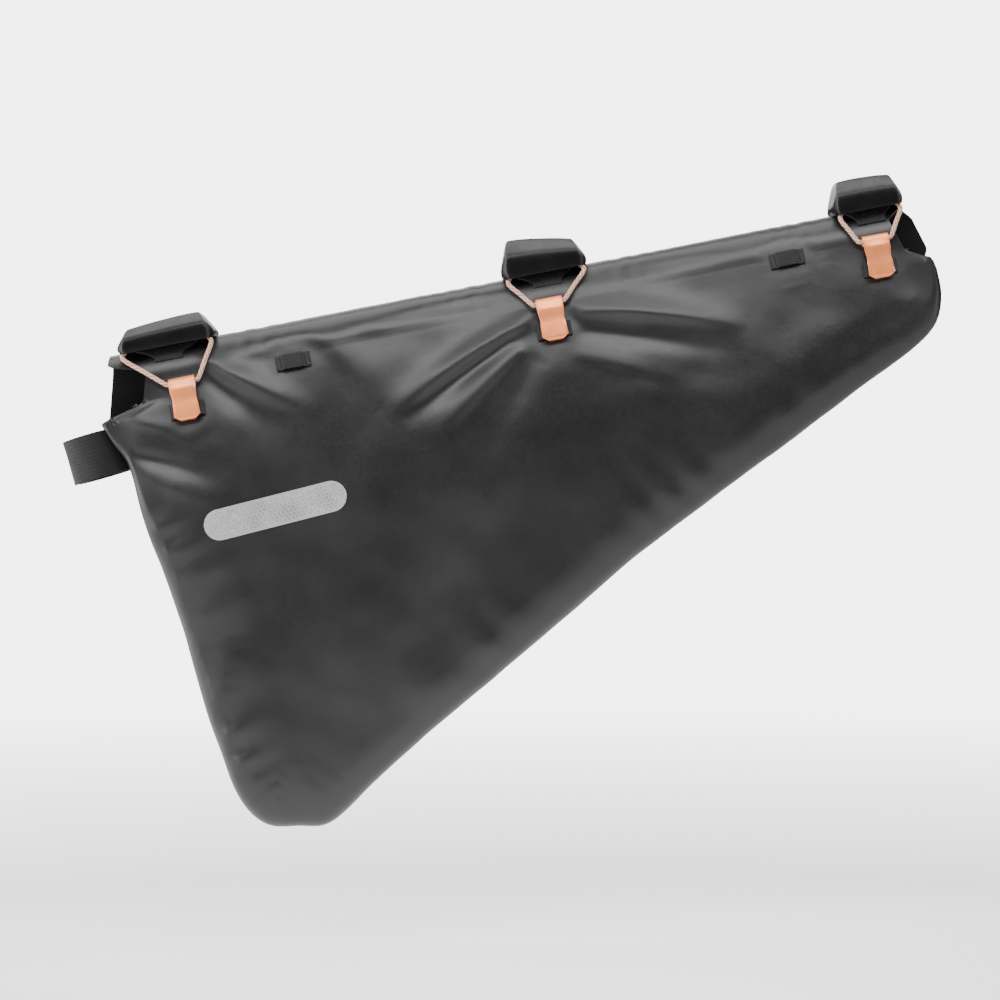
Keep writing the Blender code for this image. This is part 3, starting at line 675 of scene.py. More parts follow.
def coated_cloth(settings):
    on = Finish("Coated Cloth", {"Specular IOR Level": 0.5})
    here = on.place()
    patches, grains = on.mottle(13.0, 700.0)
    creases = on.use("Fine Creases", {"Vector": here, "Scale": 42.0})
    x, y, z = on.split(here)
    flat = on.add("ShaderNodeCombineXYZ", {0: x, 1: on.plus(z, y)}).outputs[0]
    weave = on.use("Plain Weave", {"Vector": flat, "Pitch": settings.weave_pitch})
    worn_and_highlight = tuple(settings.worn_and_highlight_colour)
    # Wear and painted highlight: the crests turn towards the worn and highlight colour.
    wear_and_painted_highlight = on.times(on.mask("rubbed_and_painted_light"), on.remap(patches, 0.3, 0.65, 0.25, 1.0))
    base = on.mix(on.remap(patches, 0.35, 0.7, 0.0, 0.30), tuple(settings.colour), worn_and_highlight)
    base = on.mix(on.times(wear_and_painted_highlight, 0.55), base, worn_and_highlight)
    base = on.mix(on.times(creases["Line"], 0.10), base, worn_and_highlight)
    # Painted light: the fold valleys and the seam's groove are lifted towards a lighter grey.
    base = on.mix(on.times(on.mask("painted_light_and_shade"), 0.5), base, (0.010, 0.010, 0.0105))
    rough = on.plus(on.remap(patches, 0.3, 0.7, 0.31, 0.40), on.remap(grains, 0.3, 0.7, -0.03, 0.03))
    on.give(base, on.plus(rough, on.times(wear_and_painted_highlight, 0.08)), (
        (creases["Height"], 0.14, 0.0016),
        (weave["Height"], 0.07, 0.00010),
        (grains, 0.10, 0.0002),
    ))


def cloth_lining():
    """The uncoated inner side of the cloth, seen only through the tunnel's mouths."""
    on = Finish("Cloth Lining", {"Specular IOR Level": 0.15})
    patches, grains = on.mottle(30.0, 900.0)
    base = on.mix(patches, (0.0045, 0.0045, 0.0048), (0.0110, 0.0110, 0.0114))
    on.give(base, on.remap(grains, 0.3, 0.7, 0.75, 0.9), ((grains, 0.2, 0.0002),))


def saddle_cloth():
    on = Finish("Saddle Rubber", {"Specular IOR Level": 0.20})
    patches, _ = on.mottle(60.0, 1500.0)
    # Painted highlight: mottled light grey on the saddle's upper chamfer and ends.
    wear_and_painted_highlight = on.times(on.mask("rubbed_and_painted_light"), on.remap(patches, 0.30, 0.62, 0.45, 1.0))
    base = on.mix(patches, (0.0018, 0.0018, 0.0019), (0.0036, 0.0036, 0.0038))
    pores = on.add("ShaderNodeTexVoronoi", {"Vector": on.place(), "Scale": 1100.0}, feature="SMOOTH_F1")
    on.give(on.mix(wear_and_painted_highlight, base, (0.046, 0.046, 0.046)), on.remap(patches, 0.3, 0.7, 0.30, 0.38), (
        (patches, 0.25, 0.0006),
        (pores.outputs["Distance"], 0.35, 0.00018),
    ))


def webbing_cloth(name, base_colour, pitch):
    on = Finish(name, {"Sheen Weight": 0.10, "Sheen Roughness": 0.5, "Specular IOR Level": 0.30})
    patches, grains = on.mottle(70.0, 1800.0)
    ribs = on.use("Webbing Ribs", {"Vector": on.place("UV"), "Pitch": pitch})
    light = tuple(min(channel * 2.4, 1.0) for channel in base_colour)
    painted_shade_colour = tuple(channel * 0.45 for channel in base_colour)
    base = on.mix(on.remap(patches, 0.3, 0.7, 0.0, 0.6), base_colour, light)
    # Painted shadow: darker where the mask is set, as on the strap beside the pouch.
    base = on.mix(on.times(on.mask("painted_light_and_shade"), 0.85), base, painted_shade_colour)
    # Painted shade: darker in the grooves between the ribs.
    on.give(on.mix(ribs["Groove"], base, painted_shade_colour), on.remap(grains, 0.3, 0.7, 0.70, 0.86), (
        (ribs["Height"], 0.65, 0.0004),
        (grains, 0.25, 0.0002),
    ))


def braided_cord(settings):
    on = Finish("Braided Cord", {"Sheen Weight": 0.2, "Sheen Roughness": 0.5, "Specular IOR Level": 0.45})
    braid = on.use("Cord Braid", {"Vector": on.place("UV"), "Strands": 4.0, "Pitch": 0.0034})
    patches, grains = on.mottle(120.0, 3000.0)
    colour = tuple(settings.cord_colour)
    lighter = tuple(min(channel * 1.25, 1.0) for channel in colour)
    base = on.mix(on.remap(patches, 0.35, 0.65, 0.0, 1.0), colour, lighter)
    base = on.mix(on.times(braid["Tracer"], 0.55), base, (0.66, 0.60, 0.56))
    # Painted shade: dark red-brown between the strands, where the braid is low.
    base = on.mix(on.remap(braid["Height"], 0.15, 0.55, 0.8, 0.0), base, (0.11, 0.030, 0.012))
    on.give(base, on.remap(braid["Tracer"], 0.0, 1.0, 0.72, 0.42), (
        (braid["Height"], 0.7, 0.0004),
        (grains, 0.3, 0.00015),
    ))


def anodised_metal(settings):
    on = Finish("Anodised Hooks", {
        "Coat Weight": 0.25, "Coat Roughness": 0.12, "Specular IOR Level": 0.5, "Metallic": 0.55,
    })
    patches, grains = on.mottle(160.0, 4200.0)
    edges = on.mask("rubbed_and_painted_light")
    stretched = on.add("ShaderNodeMapping", {"Vector": on.place(), "Scale": (300.0, 300.0, 9000.0)})
    brushed = on.noise(stretched.outputs[0], 1.0, 3.0)[0]
    colour = tuple(settings.hook_colour)
    # Deeper tone for random mottle, and painted shade along the plate's edges.
    deep_and_edge_shade = tuple(channel * share for channel, share in zip(colour, (0.82, 0.62, 0.45)))
    base = on.mix(on.remap(patches, 0.3, 0.7, 0.0, 0.5), colour, deep_and_edge_shade)
    # Painted shade: deeper colour along the plate's edges.
    base = on.mix(on.times(edges, 0.9), base, deep_and_edge_shade)
    wear_and_painted_highlight = on.times(edges, on.remap(patches, 0.52, 0.64, 0.0, 1.0))
    rough = on.plus(on.remap(brushed, 0.3, 0.7, 0.30, 0.42), on.times(wear_and_painted_highlight, 0.08))
    on.give(on.mix(wear_and_painted_highlight, base, (0.86, 0.78, 0.72)), rough, (
        (brushed, 0.10, 0.00008),
        (grains, 0.12, 0.00006),
    ))


def reflective_film():
    on = Finish("Reflective Patch", {"Coat Weight": 0.35, "Coat Roughness": 0.16, "Specular IOR Level": 0.55})
    comb = on.use("Honeycomb", {"Vector": on.place("UV"), "Cell": 0.0026})
    patches, grains = on.mottle(60.0, 2500.0)
    base = on.mix(comb["Shade"], (0.25, 0.253, 0.257), (0.40, 0.404, 0.408))
    base = on.mix(on.remap(patches, 0.42, 0.66, 0.0, 0.55), base, (0.15, 0.15, 0.15))
    base = on.mix(on.times(comb["Wall"], 0.75), base, (0.46, 0.46, 0.46))
    # A band round the rim turns plain mid grey, without cells.
    base = on.mix(on.times(on.mask("rubbed_and_painted_light"), 0.85), base, (0.34, 0.34, 0.34))
    on.give(base, on.remap(comb["Wall"], 0.0, 1.0, 0.30, 0.52), (
        (comb["Wall"], 0.35, 0.00012),
        (grains, 0.08, 0.0001),
    ))


def sewing_thread():
    on = Finish("Sewing Thread", {"Sheen Weight": 0.2, "Specular IOR Level": 0.4})
    values = {"Vector": on.place(), "Scale": 900.0, "Distortion": 0.6}
    ply = on.add("ShaderNodeTexWave", values, bands_direction="DIAGONAL").outputs["Fac"]
    base = on.mix(ply, (0.012, 0.012, 0.013), (0.040, 0.040, 0.042))
    on.give(base, on.remap(ply, 0.0, 1.0, 0.6, 0.8), ((ply, 0.4, 0.0001),))


def material_named(name, build, *given):
    """The material of that name, built the first time it is asked for."""
    if name not in bpy.data.materials:
        build(*given)
    return bpy.data.materials[name]


def webbing_material(name="Black Webbing", colour=(0.0085, 0.0085, 0.009), pitch=0.0015):
    return material_named(name, webbing_cloth, name, colour, pitch)


# The pouch's cloth


def smooth_rows(table, places):
    """Rows of a table read smoothly at fractional places."""
    rows = np.array(table, dtype=float)
    last = len(rows) - 1
    start = np.clip(np.floor(places).astype(int), 0, last - 1)
    share = (places - start)[:, None]
    before, first, second, after = (rows[np.clip(start + step, 0, last)] for step in (-1, 0, 1, 2))
    return 0.5 * (
        2 * first
        + (second - before) * share
        + (2 * before - 5 * first + 4 * second - after) * share**2
        + (3 * first - before - 3 * second + after) * share**3
    )


def running_length(points):
    """Distance from the first point of a line to each of its points."""
    return np.concatenate([[0.0], np.cumsum(np.linalg.norm(np.diff(points, axis=0), axis=1))])


def axis_height(x):
    return x * math.tan(TUBE_SLOPE)


def edge_line(rows):
    x = rows[:, 1] * POUCH_LENGTH
    z = axis_height(x) - TUNNEL_OUTER / math.cos(TUBE_SLOPE) - rows[:, 2] * POUCH_DEPTH
    return np.stack([x, z], axis=1)


def even_ribs(count):
    """Table rows whose ribs stand evenly along the tube and the pouch's edge."""
    fine = np.linspace(0, len(SECTIONS) - 1, 3000)
    rows = smooth_rows(SECTIONS, fine)
    steps = np.linalg.norm(np.diff(edge_line(rows), axis=0), axis=1)
    steps += np.abs(np.diff(rows[:, 0])) * POUCH_LENGTH
    run = np.concatenate([[0.0], np.cumsum(steps)])
    return smooth_rows(SECTIONS, np.interp(np.linspace(0, run[-1], count), run, fine))


def half_width(depth, fullness):
    """Half the pouch's width at a depth below the tube: a slope, a soft knee, a slight return."""
    bent = np.log1p(np.exp(KNEE_SHARPNESS * (1 - depth / KNEE_DROP))) / KNEE_SHARPNESS
    slope = np.clip(1 - bent, 0.0, None)
    run = ramp(depth, 0.0, SHOULDER_DROP)
    share = 0.5 * slope + 0.5 * run * (2 - run)
    back = BELLY_RETURN * ramp(depth, 0.10, 0.15)
    return TUNNEL_OUTER + (BELLY_HALF_WIDTH - TUNNEL_OUTER) * fullness * share - back


def section_columns(length, slant, fullness, rounding, panel_steps):
    """Depth, half width and way left to the edge for every point of one side's ribs."""
    arc = np.linspace(0, 0.5 * math.pi, ARC_STEPS, endpoint=False)[None, :]
    along = np.minimum(EDGE_ALONG * rounding, 0.55 * length)
    turn = length - along
    panel = turn * np.linspace(0, 1, panel_steps, endpoint=False)[None, :]
    corner = np.linspace(0, 0.5 * math.pi, CORNER_STEPS + 1)[None, :]
    bend = turn + along * np.sin(corner)
    depths = np.concatenate([-TUNNEL_OUTER / slant * np.cos(arc), panel, bend], axis=1)
    halves = np.concatenate([
        TUNNEL_OUTER * np.sin(arc) * np.ones_like(length),
        half_width(panel, fullness),
        half_width(bend, fullness) - EDGE_ACROSS * rounding * (1 - np.cos(corner)),
    ], axis=1)
    return depths, halves, length - depths


def nearest_on_line(x, z, line_x, line_z):
    """Distance to a line, share of the way along it, and a side from 1 above it to -1 below."""
    best = np.full_like(x, 1e9)
    at = np.zeros_like(x)
    above = np.zeros_like(x)
    last = len(line_x) - 1
    for i in range(last):
        dx, dz = line_x[i + 1] - line_x[i], line_z[i + 1] - line_z[i]
        part = np.clip(((x - line_x[i]) * dx + (z - line_z[i]) * dz) / (dx * dx + dz * dz), 0, 1)
        off_x, off_z = x - line_x[i] - part * dx, z - line_z[i] - part * dz
        away = np.hypot(off_x, off_z)
        closer = away < best
        best = np.where(closer, away, best)
        at = np.where(closer, (i + part) / last, at)
        lean = (off_z * dx - off_x * dz) / (math.copysign(math.hypot(dx, dz), dx) * away + 1e-9)
        above = np.where(closer, lean, above)
    return best, at, above


def fold_lift(x, z, table):
    """How far a panel stands out at points given in millimetres, from a table of folds."""
    lift = np.zeros_like(x)
    shares = np.linspace(0, 1, 21)
    starts, bends, ends = (1 - shares) ** 2, 2 * shares * (1 - shares), shares**2
    for x0, z0, x1, z1, x2, z2, rise, width0, width1, sharp in table:
        line_x = starts * x0 + bends * x1 + ends * x2
        line_z = starts * z0 + bends * z1 + ends * z2
        away, at, above = nearest_on_line(x, z, line_x, line_z)
        width = width0 + (width1 - width0) * at
        if rise > 0:
            width = width * (1.0 + 0.25 * above)
        crisp = 1 / np.cosh(np.clip(away / (0.62 * width), 0, 30)) ** 1.6
        shape = bell(away, width) * (1 - sharp) + crisp * sharp
        lift += rise * np.clip(0.55 + 1.5 * at, 0, 1) * (1 - at**2.4) * shape
    return lift


def edge_puckers(run, distance, share):
    """Ripples that start on the pouch's edge and die out over the panel, in millimetres."""
    lift = np.zeros_like(distance)
    wander = 2.6 * np.sin(run / 47.0) + 1.7 * np.sin(run / 19.0 + 1.0) + 0.05 * distance
    uneven = 0.75 + 0.45 * np.sin(run / 31.0 + 0.7)
    reach = 27.0 + 9.0 * np.sin(run / 23.0 + 2.0)
    start_up = soften(ramp(distance, 0.0, 16.0))
    for start, end, rise, pitch in PUCKERS:
        inside = ramp(share, start, 0.03) * ramp(end - share, 0.0, 0.03)
        wave = np.sin(2 * math.pi * (run + 4.0 * wander) / pitch)
        second = np.sin(2 * math.pi * (run - 3.0 * wander) / (0.57 * pitch) + 0.08 * distance)
        wave = wave * uneven + 0.28 * second * np.exp(-distance / 16.0)
        lift += inside * rise * wave * bell(distance, reach) * start_up
    return lift


def seam_lip(distance, share, rounding):
    """The raised lip and the groove of the seam along the lower edge, in millimetres."""
    from_seam = distance - 9.0
    lip = 0.16 * bell(from_seam - 3.0, 2.0) - 0.20 * bell(from_seam, 1.5)
    return lip * ramp(share, 0.40, 0.06) * ramp(rounding, 0.5, 0.4)


def rolled_edge(distance, share):
    """How far the rear edge is rolled in, in millimetres."""
    at_rear = ramp(share, 0.09, 0.08) * ramp(0.43 - share, 0.0, 0.08)
    return -8.0 * at_rear * np.clip(1 - distance / 44.0, 0, 1) ** 2


def notch_shift(rib_x, up, y):
    """How far the cloth is drawn along the tube at a mouth's notch."""
    near_side = ramp(-y, 0.0, 0.5 * TUNNEL_OUTER)
    far_side = ramp(y, 0.0, 0.5 * TUNNEL_OUTER)
    shift = np.zeros_like(up)
    for rim_x, depth, far_depth, reach, top, foot, fade in NOTCHES:
        close = np.clip(1 - np.abs(rib_x - rim_x) * POUCH_LENGTH / reach, 0, None)
        inside = ramp(np.minimum(top + fade - up, up - foot + fade), 0.0, fade)
        shift += (depth * near_side + far_depth * far_side) * close * soften(inside)
    return shift


def seat_tube_frame():
    """The strap's centre, the seat tube's direction and the way forward from it."""
    x = SEAT_STRAP_PLACE[0] * POUCH_LENGTH
    z = axis_height(x) - TUNNEL_OUTER - SEAT_STRAP_PLACE[1] * POUCH_DEPTH
    along = (math.sin(SEAT_TUBE_LEAN), 0.0, -math.cos(SEAT_TUBE_LEAN))
    forward = (math.cos(SEAT_TUBE_LEAN), 0.0, math.sin(SEAT_TUBE_LEAN))
    return np.array((x, 0.0, z)), np.array(along), np.array(forward)


def clear_seat_tube(points):
    """Moves cloth forward out of the seat tube and its strap."""
    centre, along, forward = seat_tube_frame()
    apart = points - centre
    past = np.abs(apart @ along) - 0.5 * SEAT_STRAP_WIDTH - GAP
    fade = np.clip(1 - past / 0.030, 0, 1)
    strap_room = SEAT_STRAP_RADIUS + SEAT_STRAP_THICKNESS + GAP
    room = SEAT_TUBE_RADIUS + (strap_room - SEAT_TUBE_RADIUS) * fade
    aside = np.clip(np.abs(points[..., 1]) / room - 0.25, 0, None) / 0.75
    least = room * np.sqrt(np.clip(1 - aside**2, 0, None))
    short = np.where(aside < 1, np.clip(least - apart @ forward, 0, None), 0.0)
    return points + short[..., None] * forward


def loop_spots():
    """Place and direction of every webbing loop on the near panel."""
    return [(np.array(origin), np.array(out)) for *_, origin, out in CLOSURES + FREE_LOOPS]


def reach_loops(points):
    """Leads the near panel softly through the feet of the webbing loops."""
    near = points[..., 1] < NEAR_PANEL
    spots = loop_spots()
    away = [np.hypot(points[..., 0] - foot[0], points[..., 2] - foot[2]) for foot, _ in spots]
    need = [
        np.mean(((points - foot) @ out)[near & (far < 0.007)]) + 0.0004
        for (foot, out), far in zip(spots, away)
    ]
    feet = np.array([foot for foot, _ in spots])
    among = np.hypot(feet[:, None, 0] - feet[None, :, 0], feet[:, None, 2] - feet[None, :, 2])
    weights = np.linalg.solve(bell(among, LOOP_PULL_SPREAD), np.array(need))
    moved = points.copy()
    for far, weight in zip(away, weights):
        moved[..., 1] += np.where(near, weight * bell(far, LOOP_PULL_SPREAD), 0.0)
    return moved


def rest_loops(points):
    """Flattens the cloth under the foot of each webbing loop, which holds it."""
    for foot, out in loop_spots():
        apart = points - foot
        above = apart @ out
        sideways = np.linalg.norm(apart - above[..., None] * out, axis=-1)
        hold = soften(ramp(LOOP_HOLD - sideways, 0.0, 0.010))
        excess = above - np.clip(above, -0.0009, -0.0002)
        near = (points[..., 1] < NEAR_PANEL) & (sideways < LOOP_HOLD)
        points = points - np.where(near, hold * excess, 0.0)[..., None] * out
    return points


def pouch_points(ribs, fold_depth):
    """The pouch's outer side as a grid of ribs by points round it, with a mask of wear and painted highlight
    on the crests and a mask of painted light in the valleys.
    """
    rows = even_ribs(ribs)
    edge = edge_line(rows)
    top_x = rows[:, 0] * POUCH_LENGTH
    top = np.stack([top_x, axis_height(top_x)], axis=1)
    length = np.linalg.norm(edge - top, axis=1)[:, None]
    down = (edge - top) / length
    slant = -(down @ np.array([TUBE_UP.x, TUBE_UP.z]))[:, None]
    fullness, rounding = rows[:, 3:4], rows[:, 4:5]
    run = running_length(edge)
    sides = []
    masks = []
    for side, table, panel_steps in ((-1.0, NEAR_FOLDS, 98), (1.0, FAR_FOLDS, 44)):
        depth, half, to_edge = section_columns(length, slant, fullness, rounding, panel_steps)
        x = top[:, :1] + down[:, :1] * depth
        z = top[:, 1:] + down[:, 1:] * depth
        lift = fold_lift(x * 1000, z * 1000, table)
        inward, place, _ = nearest_on_line(x * 1000, z * 1000, *(edge.T * 1000))
        place_run = np.interp(place, np.linspace(0, 1, ribs), run)
        share = place_run / run[-1]
        ripples = edge_puckers(place_run * 1000, inward, share)
        lip = seam_lip(inward, share, rounding)
        fade = ramp(to_edge, 0.0, 0.024) * soften(ramp(depth, -0.019, 0.016))
        total = (lift * fold_depth * fade + ripples + lip + rolled_edge(inward, share)) * 0.001
        y = side * (half + total * np.clip(rounding * 1.6, 0.2, 1.0))
        shift = notch_shift(rows[:, :1], (z - axis_height(x)) * math.cos(TUBE_SLOPE), y)
        sides.append(np.stack([x + shift * TUBE_ALONG.x, y, z + shift * TUBE_ALONG.z], axis=2))
        # The first mask marks wear and painted highlight on the crests of folds, on the seam's lip and on the
        # puckers. The second marks painted light in the valleys and the seam's groove.
        rubbed_and_painted_light = ramp(lift, 0.0, 3.0) + np.clip(lip, 0, 1) * 0.8 + np.clip(ripples, 0, 1) * 0.3
        masks.append(np.stack([rubbed_and_painted_light, ramp(-lift, 0.0, 3.0) + np.clip(-lip, 0, 1)], axis=2))
    shares = np.linspace(-1, 1, 15)[None, 1:-1]
    wrinkle = 0.0007 * np.sin(run[:, None] * 1000 / 5.3 + 3.0 * shares) * (1 - shares**2)
    gusset = np.stack([
        edge[:, :1] - down[:, :1] * wrinkle,
        np.abs(sides[0][:, -1:, 1]) * shares,
        edge[:, 1:] - down[:, 1:] * wrinkle,
    ], axis=2)
    ring = np.concatenate([sides[0], gusset, sides[1][:, ::-1]], axis=1)
    plain = np.zeros(gusset.shape[:2] + (2,))
    masks = np.concatenate([masks[0], plain, masks[1][:, ::-1]], axis=1)
    return clear_seat_tube(reach_loops(ring)), masks


def noise_at(points):
    return np.array([noise.noise(Vector(point)) for point in points])


def ripple_tunnel(piece):
    """Small cross ripples over the tube where the saddles hold the cloth, and dents all over."""
    points = read_points(piece)
    x, y, z = points.T
    above = z - axis_height(x)
    free = np.min([
        np.abs(x + 0.19 * above - place * POUCH_LENGTH) - (0.0005 * length + 0.006)
        for _, place, length, *_ in CLOSURES
    ], axis=0)
    on_tunnel = soften(ramp(above, -0.014, 0.028))
    ease = ramp(free, 0.0, 0.012)
    near_saddle = ease * np.exp(-np.maximum(free, 0.0) / 0.022)
    wave = np.sin(x * 560.0 + y * 90.0 + 1.3 * np.sin(x * 90.0))
    soft = noise_at(points * 16.0)
    fine = noise_at(points * 48.0 + (0.0, 7.0, 0.0))
    dents = (0.9 * soft + 0.38 * fine) * (1 - on_tunnel) + 0.22 * (soft + fine) * on_tunnel * ease
    push = 0.001 * (dents + 0.55 * wave * near_saddle * on_tunnel)
    move_points(piece, points + read_points(piece, "normal") * push[:, None])


def make_pouch(cloth):
    points, masks = pouch_points(214, cloth.fold_depth)
    piece = cloth_grid("pouch_cloth", points, grid_lengths(points))
    store_mask(piece, "rubbed_and_painted_light", masks[..., 0])
    store_mask(piece, "painted_light_and_shade", masks[..., 1])
    merge_doubles(piece, 0.00002)
    inside_out = min(piece.data.polygons, key=lambda face: face.center.y).normal.y > 0
    with editing(piece):
        if inside_out:
            bpy.ops.mesh.flip_normals()
        bpy.ops.mesh.quads_convert_to_tris(quad_method="SHORTEST_DIAGONAL")
    ripple_tunnel(piece)
    move_points(piece, clear_seat_tube(rest_loops(read_points(piece))))
    finish = material_named("Coated Cloth", coated_cloth, cloth)
    piece.data.materials.append(finish)
    piece.data.materials.append(material_named("Cloth Lining", cloth_lining))
    add_wall(piece, CLOTH_WALL, lined=True)
    apply_modifiers(piece)
    smooth_shading(piece, 60.0)
    return dress(piece, finish, "pouch")


def cloth_surface():
    """A tree of the finished pouch, to lay other pieces on."""
    pouch = bpy.data.objects["pouch_cloth"].data
    corners = [tuple(vertex.co) for vertex in pouch.vertices]
    return BVHTree.FromPolygons(corners, [tuple(face.vertices) for face in pouch.polygons])


# Strips bent along a path


def strip_points(path, halves, along, across, columns):
    """Grid points of a strip that follows (along, out) spots, with its half width at each."""
    run, out = np.array(path).T[:, :, None]
    middle = run * np.array(along) + out * np.array(FLAT_OUT)
    reach = np.outer(halves, np.linspace(-1, 1, columns))
    return middle[:, None] + reach[..., None] * np.array(across)


def make_strip(name, points, thickness, bevel, segments=2):
    """A bent strip with a wall centred on its points and softened edges."""
    piece = cloth_grid(name, points, grid_lengths(points))
    add_wall(piece, thickness, offset=0.0, even=True)
    add_bevel(piece, bevel, segments)
    return finish_mesh(piece, 50.0)


def resample(path, spacing):
    """The same path with points no further apart than the spacing."""
    dense = [path[0]]
    for first, second in zip(path, path[1:]):
        pieces = max(1, math.ceil(math.dist(first, second) / spacing))
        for k in range(1, pieces + 1):
            dense.append(tuple(a + (b - a) * k / pieces for a, b in zip(first, second)))
    return dense


def rounded(path, radius, steps):
    """The same path with its inner corners rounded."""
    result = [path[0]]
    for before, here, after in zip(path, path[1:], path[2:]):
        corner = Vector(here)
        arriving = Vector(before) - corner
        leaving = Vector(after) - corner
        cut = min(radius, 0.45 * arriving.length, 0.45 * leaving.length)
        first = corner + arriving.normalized() * cut
        last = corner + leaving.normalized() * cut
        for k in range(steps + 1):
            share = k / steps
            spot = first * (1 - share) ** 2 + corner * 2 * share * (1 - share) + last * share**2
            result.append(tuple(spot))
    result.append(path[-1])
    return result


def loop_frame(origin, out):
    """Origin, along, up and out of a webbing loop."""
    out = Vector(out).normalized()
    along = (TUBE_ALONG - out * TUBE_ALONG.dot(out)).normalized()
    up = out.cross(along)
    return Vector(origin), along, -up if up.z < 0 else up, out


def loop_placement(origin, out):
    """Where a piece modelled at the origin, flat on the plane of x and z, lies on the panel."""
    origin, along, up, out = loop_frame(origin, out)
    return Matrix.Translation(origin) @ Matrix((along, -out, up)).transposed().to_4x4()


def place_copy(pattern, name, placement):
    """A copy of a piece with its own mesh, whose place is in the mesh."""
    made = pattern.copy()
    made.data = pattern.data.copy()
    made.data.transform(placement)
    bpy.context.collection.objects.link(made)
    return name_piece(made, name)


def drop_pattern(pattern):
    bpy.data.objects.remove(pattern, do_unlink=True)


def join_pieces(pieces, name):
    start_primitive()
    for piece in pieces:
        piece.select_set(True)
    bpy.context.view_layer.objects.active = pieces[0]
    bpy.ops.object.join()
    return name_piece(bpy.context.object, name)


def webbing_loop_pattern():
    foot_out = SURFACE_GAP + 0.5 * LOOP_THICKNESS
    inner = 0.5 * LOOP_SPAN
    knee = inner + LOOP_KNEE
    path = [(-knee - LOOP_FOOT, foot_out), (-knee, foot_out), (-inner, LOOP_RISE)]
    path += [(-run, out) for run, out in reversed(path)]
    path = resample(rounded(path, 0.0006, 3), 0.0008)
    halves = [0.5 * LOOP_HEIGHT] * len(path)
    points = strip_points(path, halves, FLAT_ALONG, FLAT_UP, 13)
    return make_strip("loop_pattern", points, LOOP_THICKNESS, 0.0003)


def bar_tack_pattern():
    """Two rows of tight stitches, one on each foot of a webbing loop."""
    start_primitive()
    bpy.ops.mesh.primitive_cylinder_add(
        vertices=8, radius=STITCH_RADIUS, depth=STITCH_LENGTH, end_fill_type="NGON",
    )
    stitch = bpy.context.object
    with editing(stitch):
        bpy.ops.mesh.bevel(offset=0.00008, segments=2, affect="EDGES")
    copies = []
    for end in (-1.0, 1.0):
        foot = end * (0.5 * LOOP_SPAN + LOOP_KNEE + 0.5 * LOOP_FOOT)
        for k in range(STITCHES):
            lean = math.radians(11.0 if k % 2 else -11.0)
            height = (k / (STITCHES - 1) - 0.5) * (LOOP_HEIGHT - 0.0016)
            spot = Vector((foot, -(SURFACE_GAP + LOOP_THICKNESS + 0.0001), height))
            turn = Matrix.Rotation(0.5 * math.pi + lean, 4, "Y")
            copies.append(place_copy(stitch, "stitch", Matrix.Translation(spot) @ turn))
    drop_pattern(stitch)
    return join_pieces(copies, "tack_pattern")


def make_webbing_loops():
    """Five webbing loops and the stitches that hold their feet."""
    loop = webbing_loop_pattern()
    tack = bar_tack_pattern()
    tacks = []
    for kind, solid, rows in (("catch", "hook_loop", CLOSURES), ("spare_catch", "free_loop", FREE_LOOPS)):
        for name, *_, origin, out in rows:
            placement = loop_placement(origin, out)
            made = place_copy(loop, f"{kind}_{name}", placement)
            dress(made, webbing_material(), f"{solid}_{name}")
            tacks.append(place_copy(tack, "tack", placement))
    drop_pattern(loop)
    drop_pattern(tack)
    joined = join_pieces(tacks, "bar_tacks")
    smooth_shading(joined, 60.0)
    dress(joined, material_named("Sewing Thread", sewing_thread))


# Hooks


def hook_path():
    """The hook's middle line, from the free end of its eye down to the tip behind the loop."""
    eye_up, eye_out = EYE_SPOT
    eye = CORD_OF_SOLIDS + CORD_CLEARANCE + 0.5 * HOOK_PLATE
    beside_loop = 0.5 * LOOP_THICKNESS + GAP + 0.5 * HOOK_PLATE
    plate_out = LOOP_RISE + beside_loop
    tip_out = LOOP_RISE - beside_loop
    bend_up = -0.5 * LOOP_HEIGHT
    path = []
    for i in range(EYE_STEPS):
        angle = math.radians(250 - 12.5 * i)
        path.append((eye_up + eye * math.sin(angle), eye_out + eye * math.cos(angle)))
    body = [
        path[-1],
        (0.70 * eye_up, eye_out + eye - 0.0002),
        (0.35 * eye_up, plate_out + 0.0004),
        (bend_up, plate_out),
    ]
    path += rounded(body, 0.004, 5)[1:-1]
    for i in range(BEND_STEPS):
        angle = math.radians(-15 * i)
        along, out = beside_loop * math.sin(angle), beside_loop * math.cos(angle)
        path.append((bend_up + along, tip_out + beside_loop + out))
    path.append((bend_up + 0.5 * HOOK_TIP_RISE, tip_out))
    path.append((bend_up + HOOK_TIP_RISE, tip_out))
    return path


def make_hooks(finish):
    """Three hooks, bent from one pattern of plate."""
    path = hook_path()
    bend_start = len(path) - BEND_STEPS - 2
    narrow = ramp(np.arange(len(path)), bend_start, 5)
    waist = 0.0007 * bell(np.array(path)[:, 0] - 0.35 * HOOK_REACH, 0.004)
    halves = 0.5 * (HOOK_WIDTH + (HOOK_TIP_WIDTH - HOOK_WIDTH) * narrow) - waist
    halves[[0, 1, -1, -2]] -= (0.0010, 0.0004, 0.0012, 0.0002)
    points = strip_points(path, halves, FLAT_UP, FLAT_ALONG, 9)
    crown = np.outer(0.00035 * (1 - np.linspace(-1, 1, 9) ** 2), np.array(FLAT_OUT))
    points[EYE_STEPS + 1:bend_start] += crown
    pattern = make_strip("hook_pattern", points, HOOK_PLATE, 0.00042, 3)
    aside = np.abs(read_points(pattern)[:, 0])
    # The plate's edges get painted shade as a deeper colour, and pale patches of wear.
    store_mask(pattern, "rubbed_and_painted_light", ramp(aside, 0.0070, 0.0009))
    for name, *_, origin, out in CLOSURES:
        made = place_copy(pattern, f"bent_hook_{name}", loop_placement(origin, out))
        dress(made, finish, f"hook_{name}")
    drop_pattern(pattern)


# Saddles


def saddle_centre(place):
    x = place * POUCH_LENGTH
    return Vector((x, 0.0, axis_height(x)))


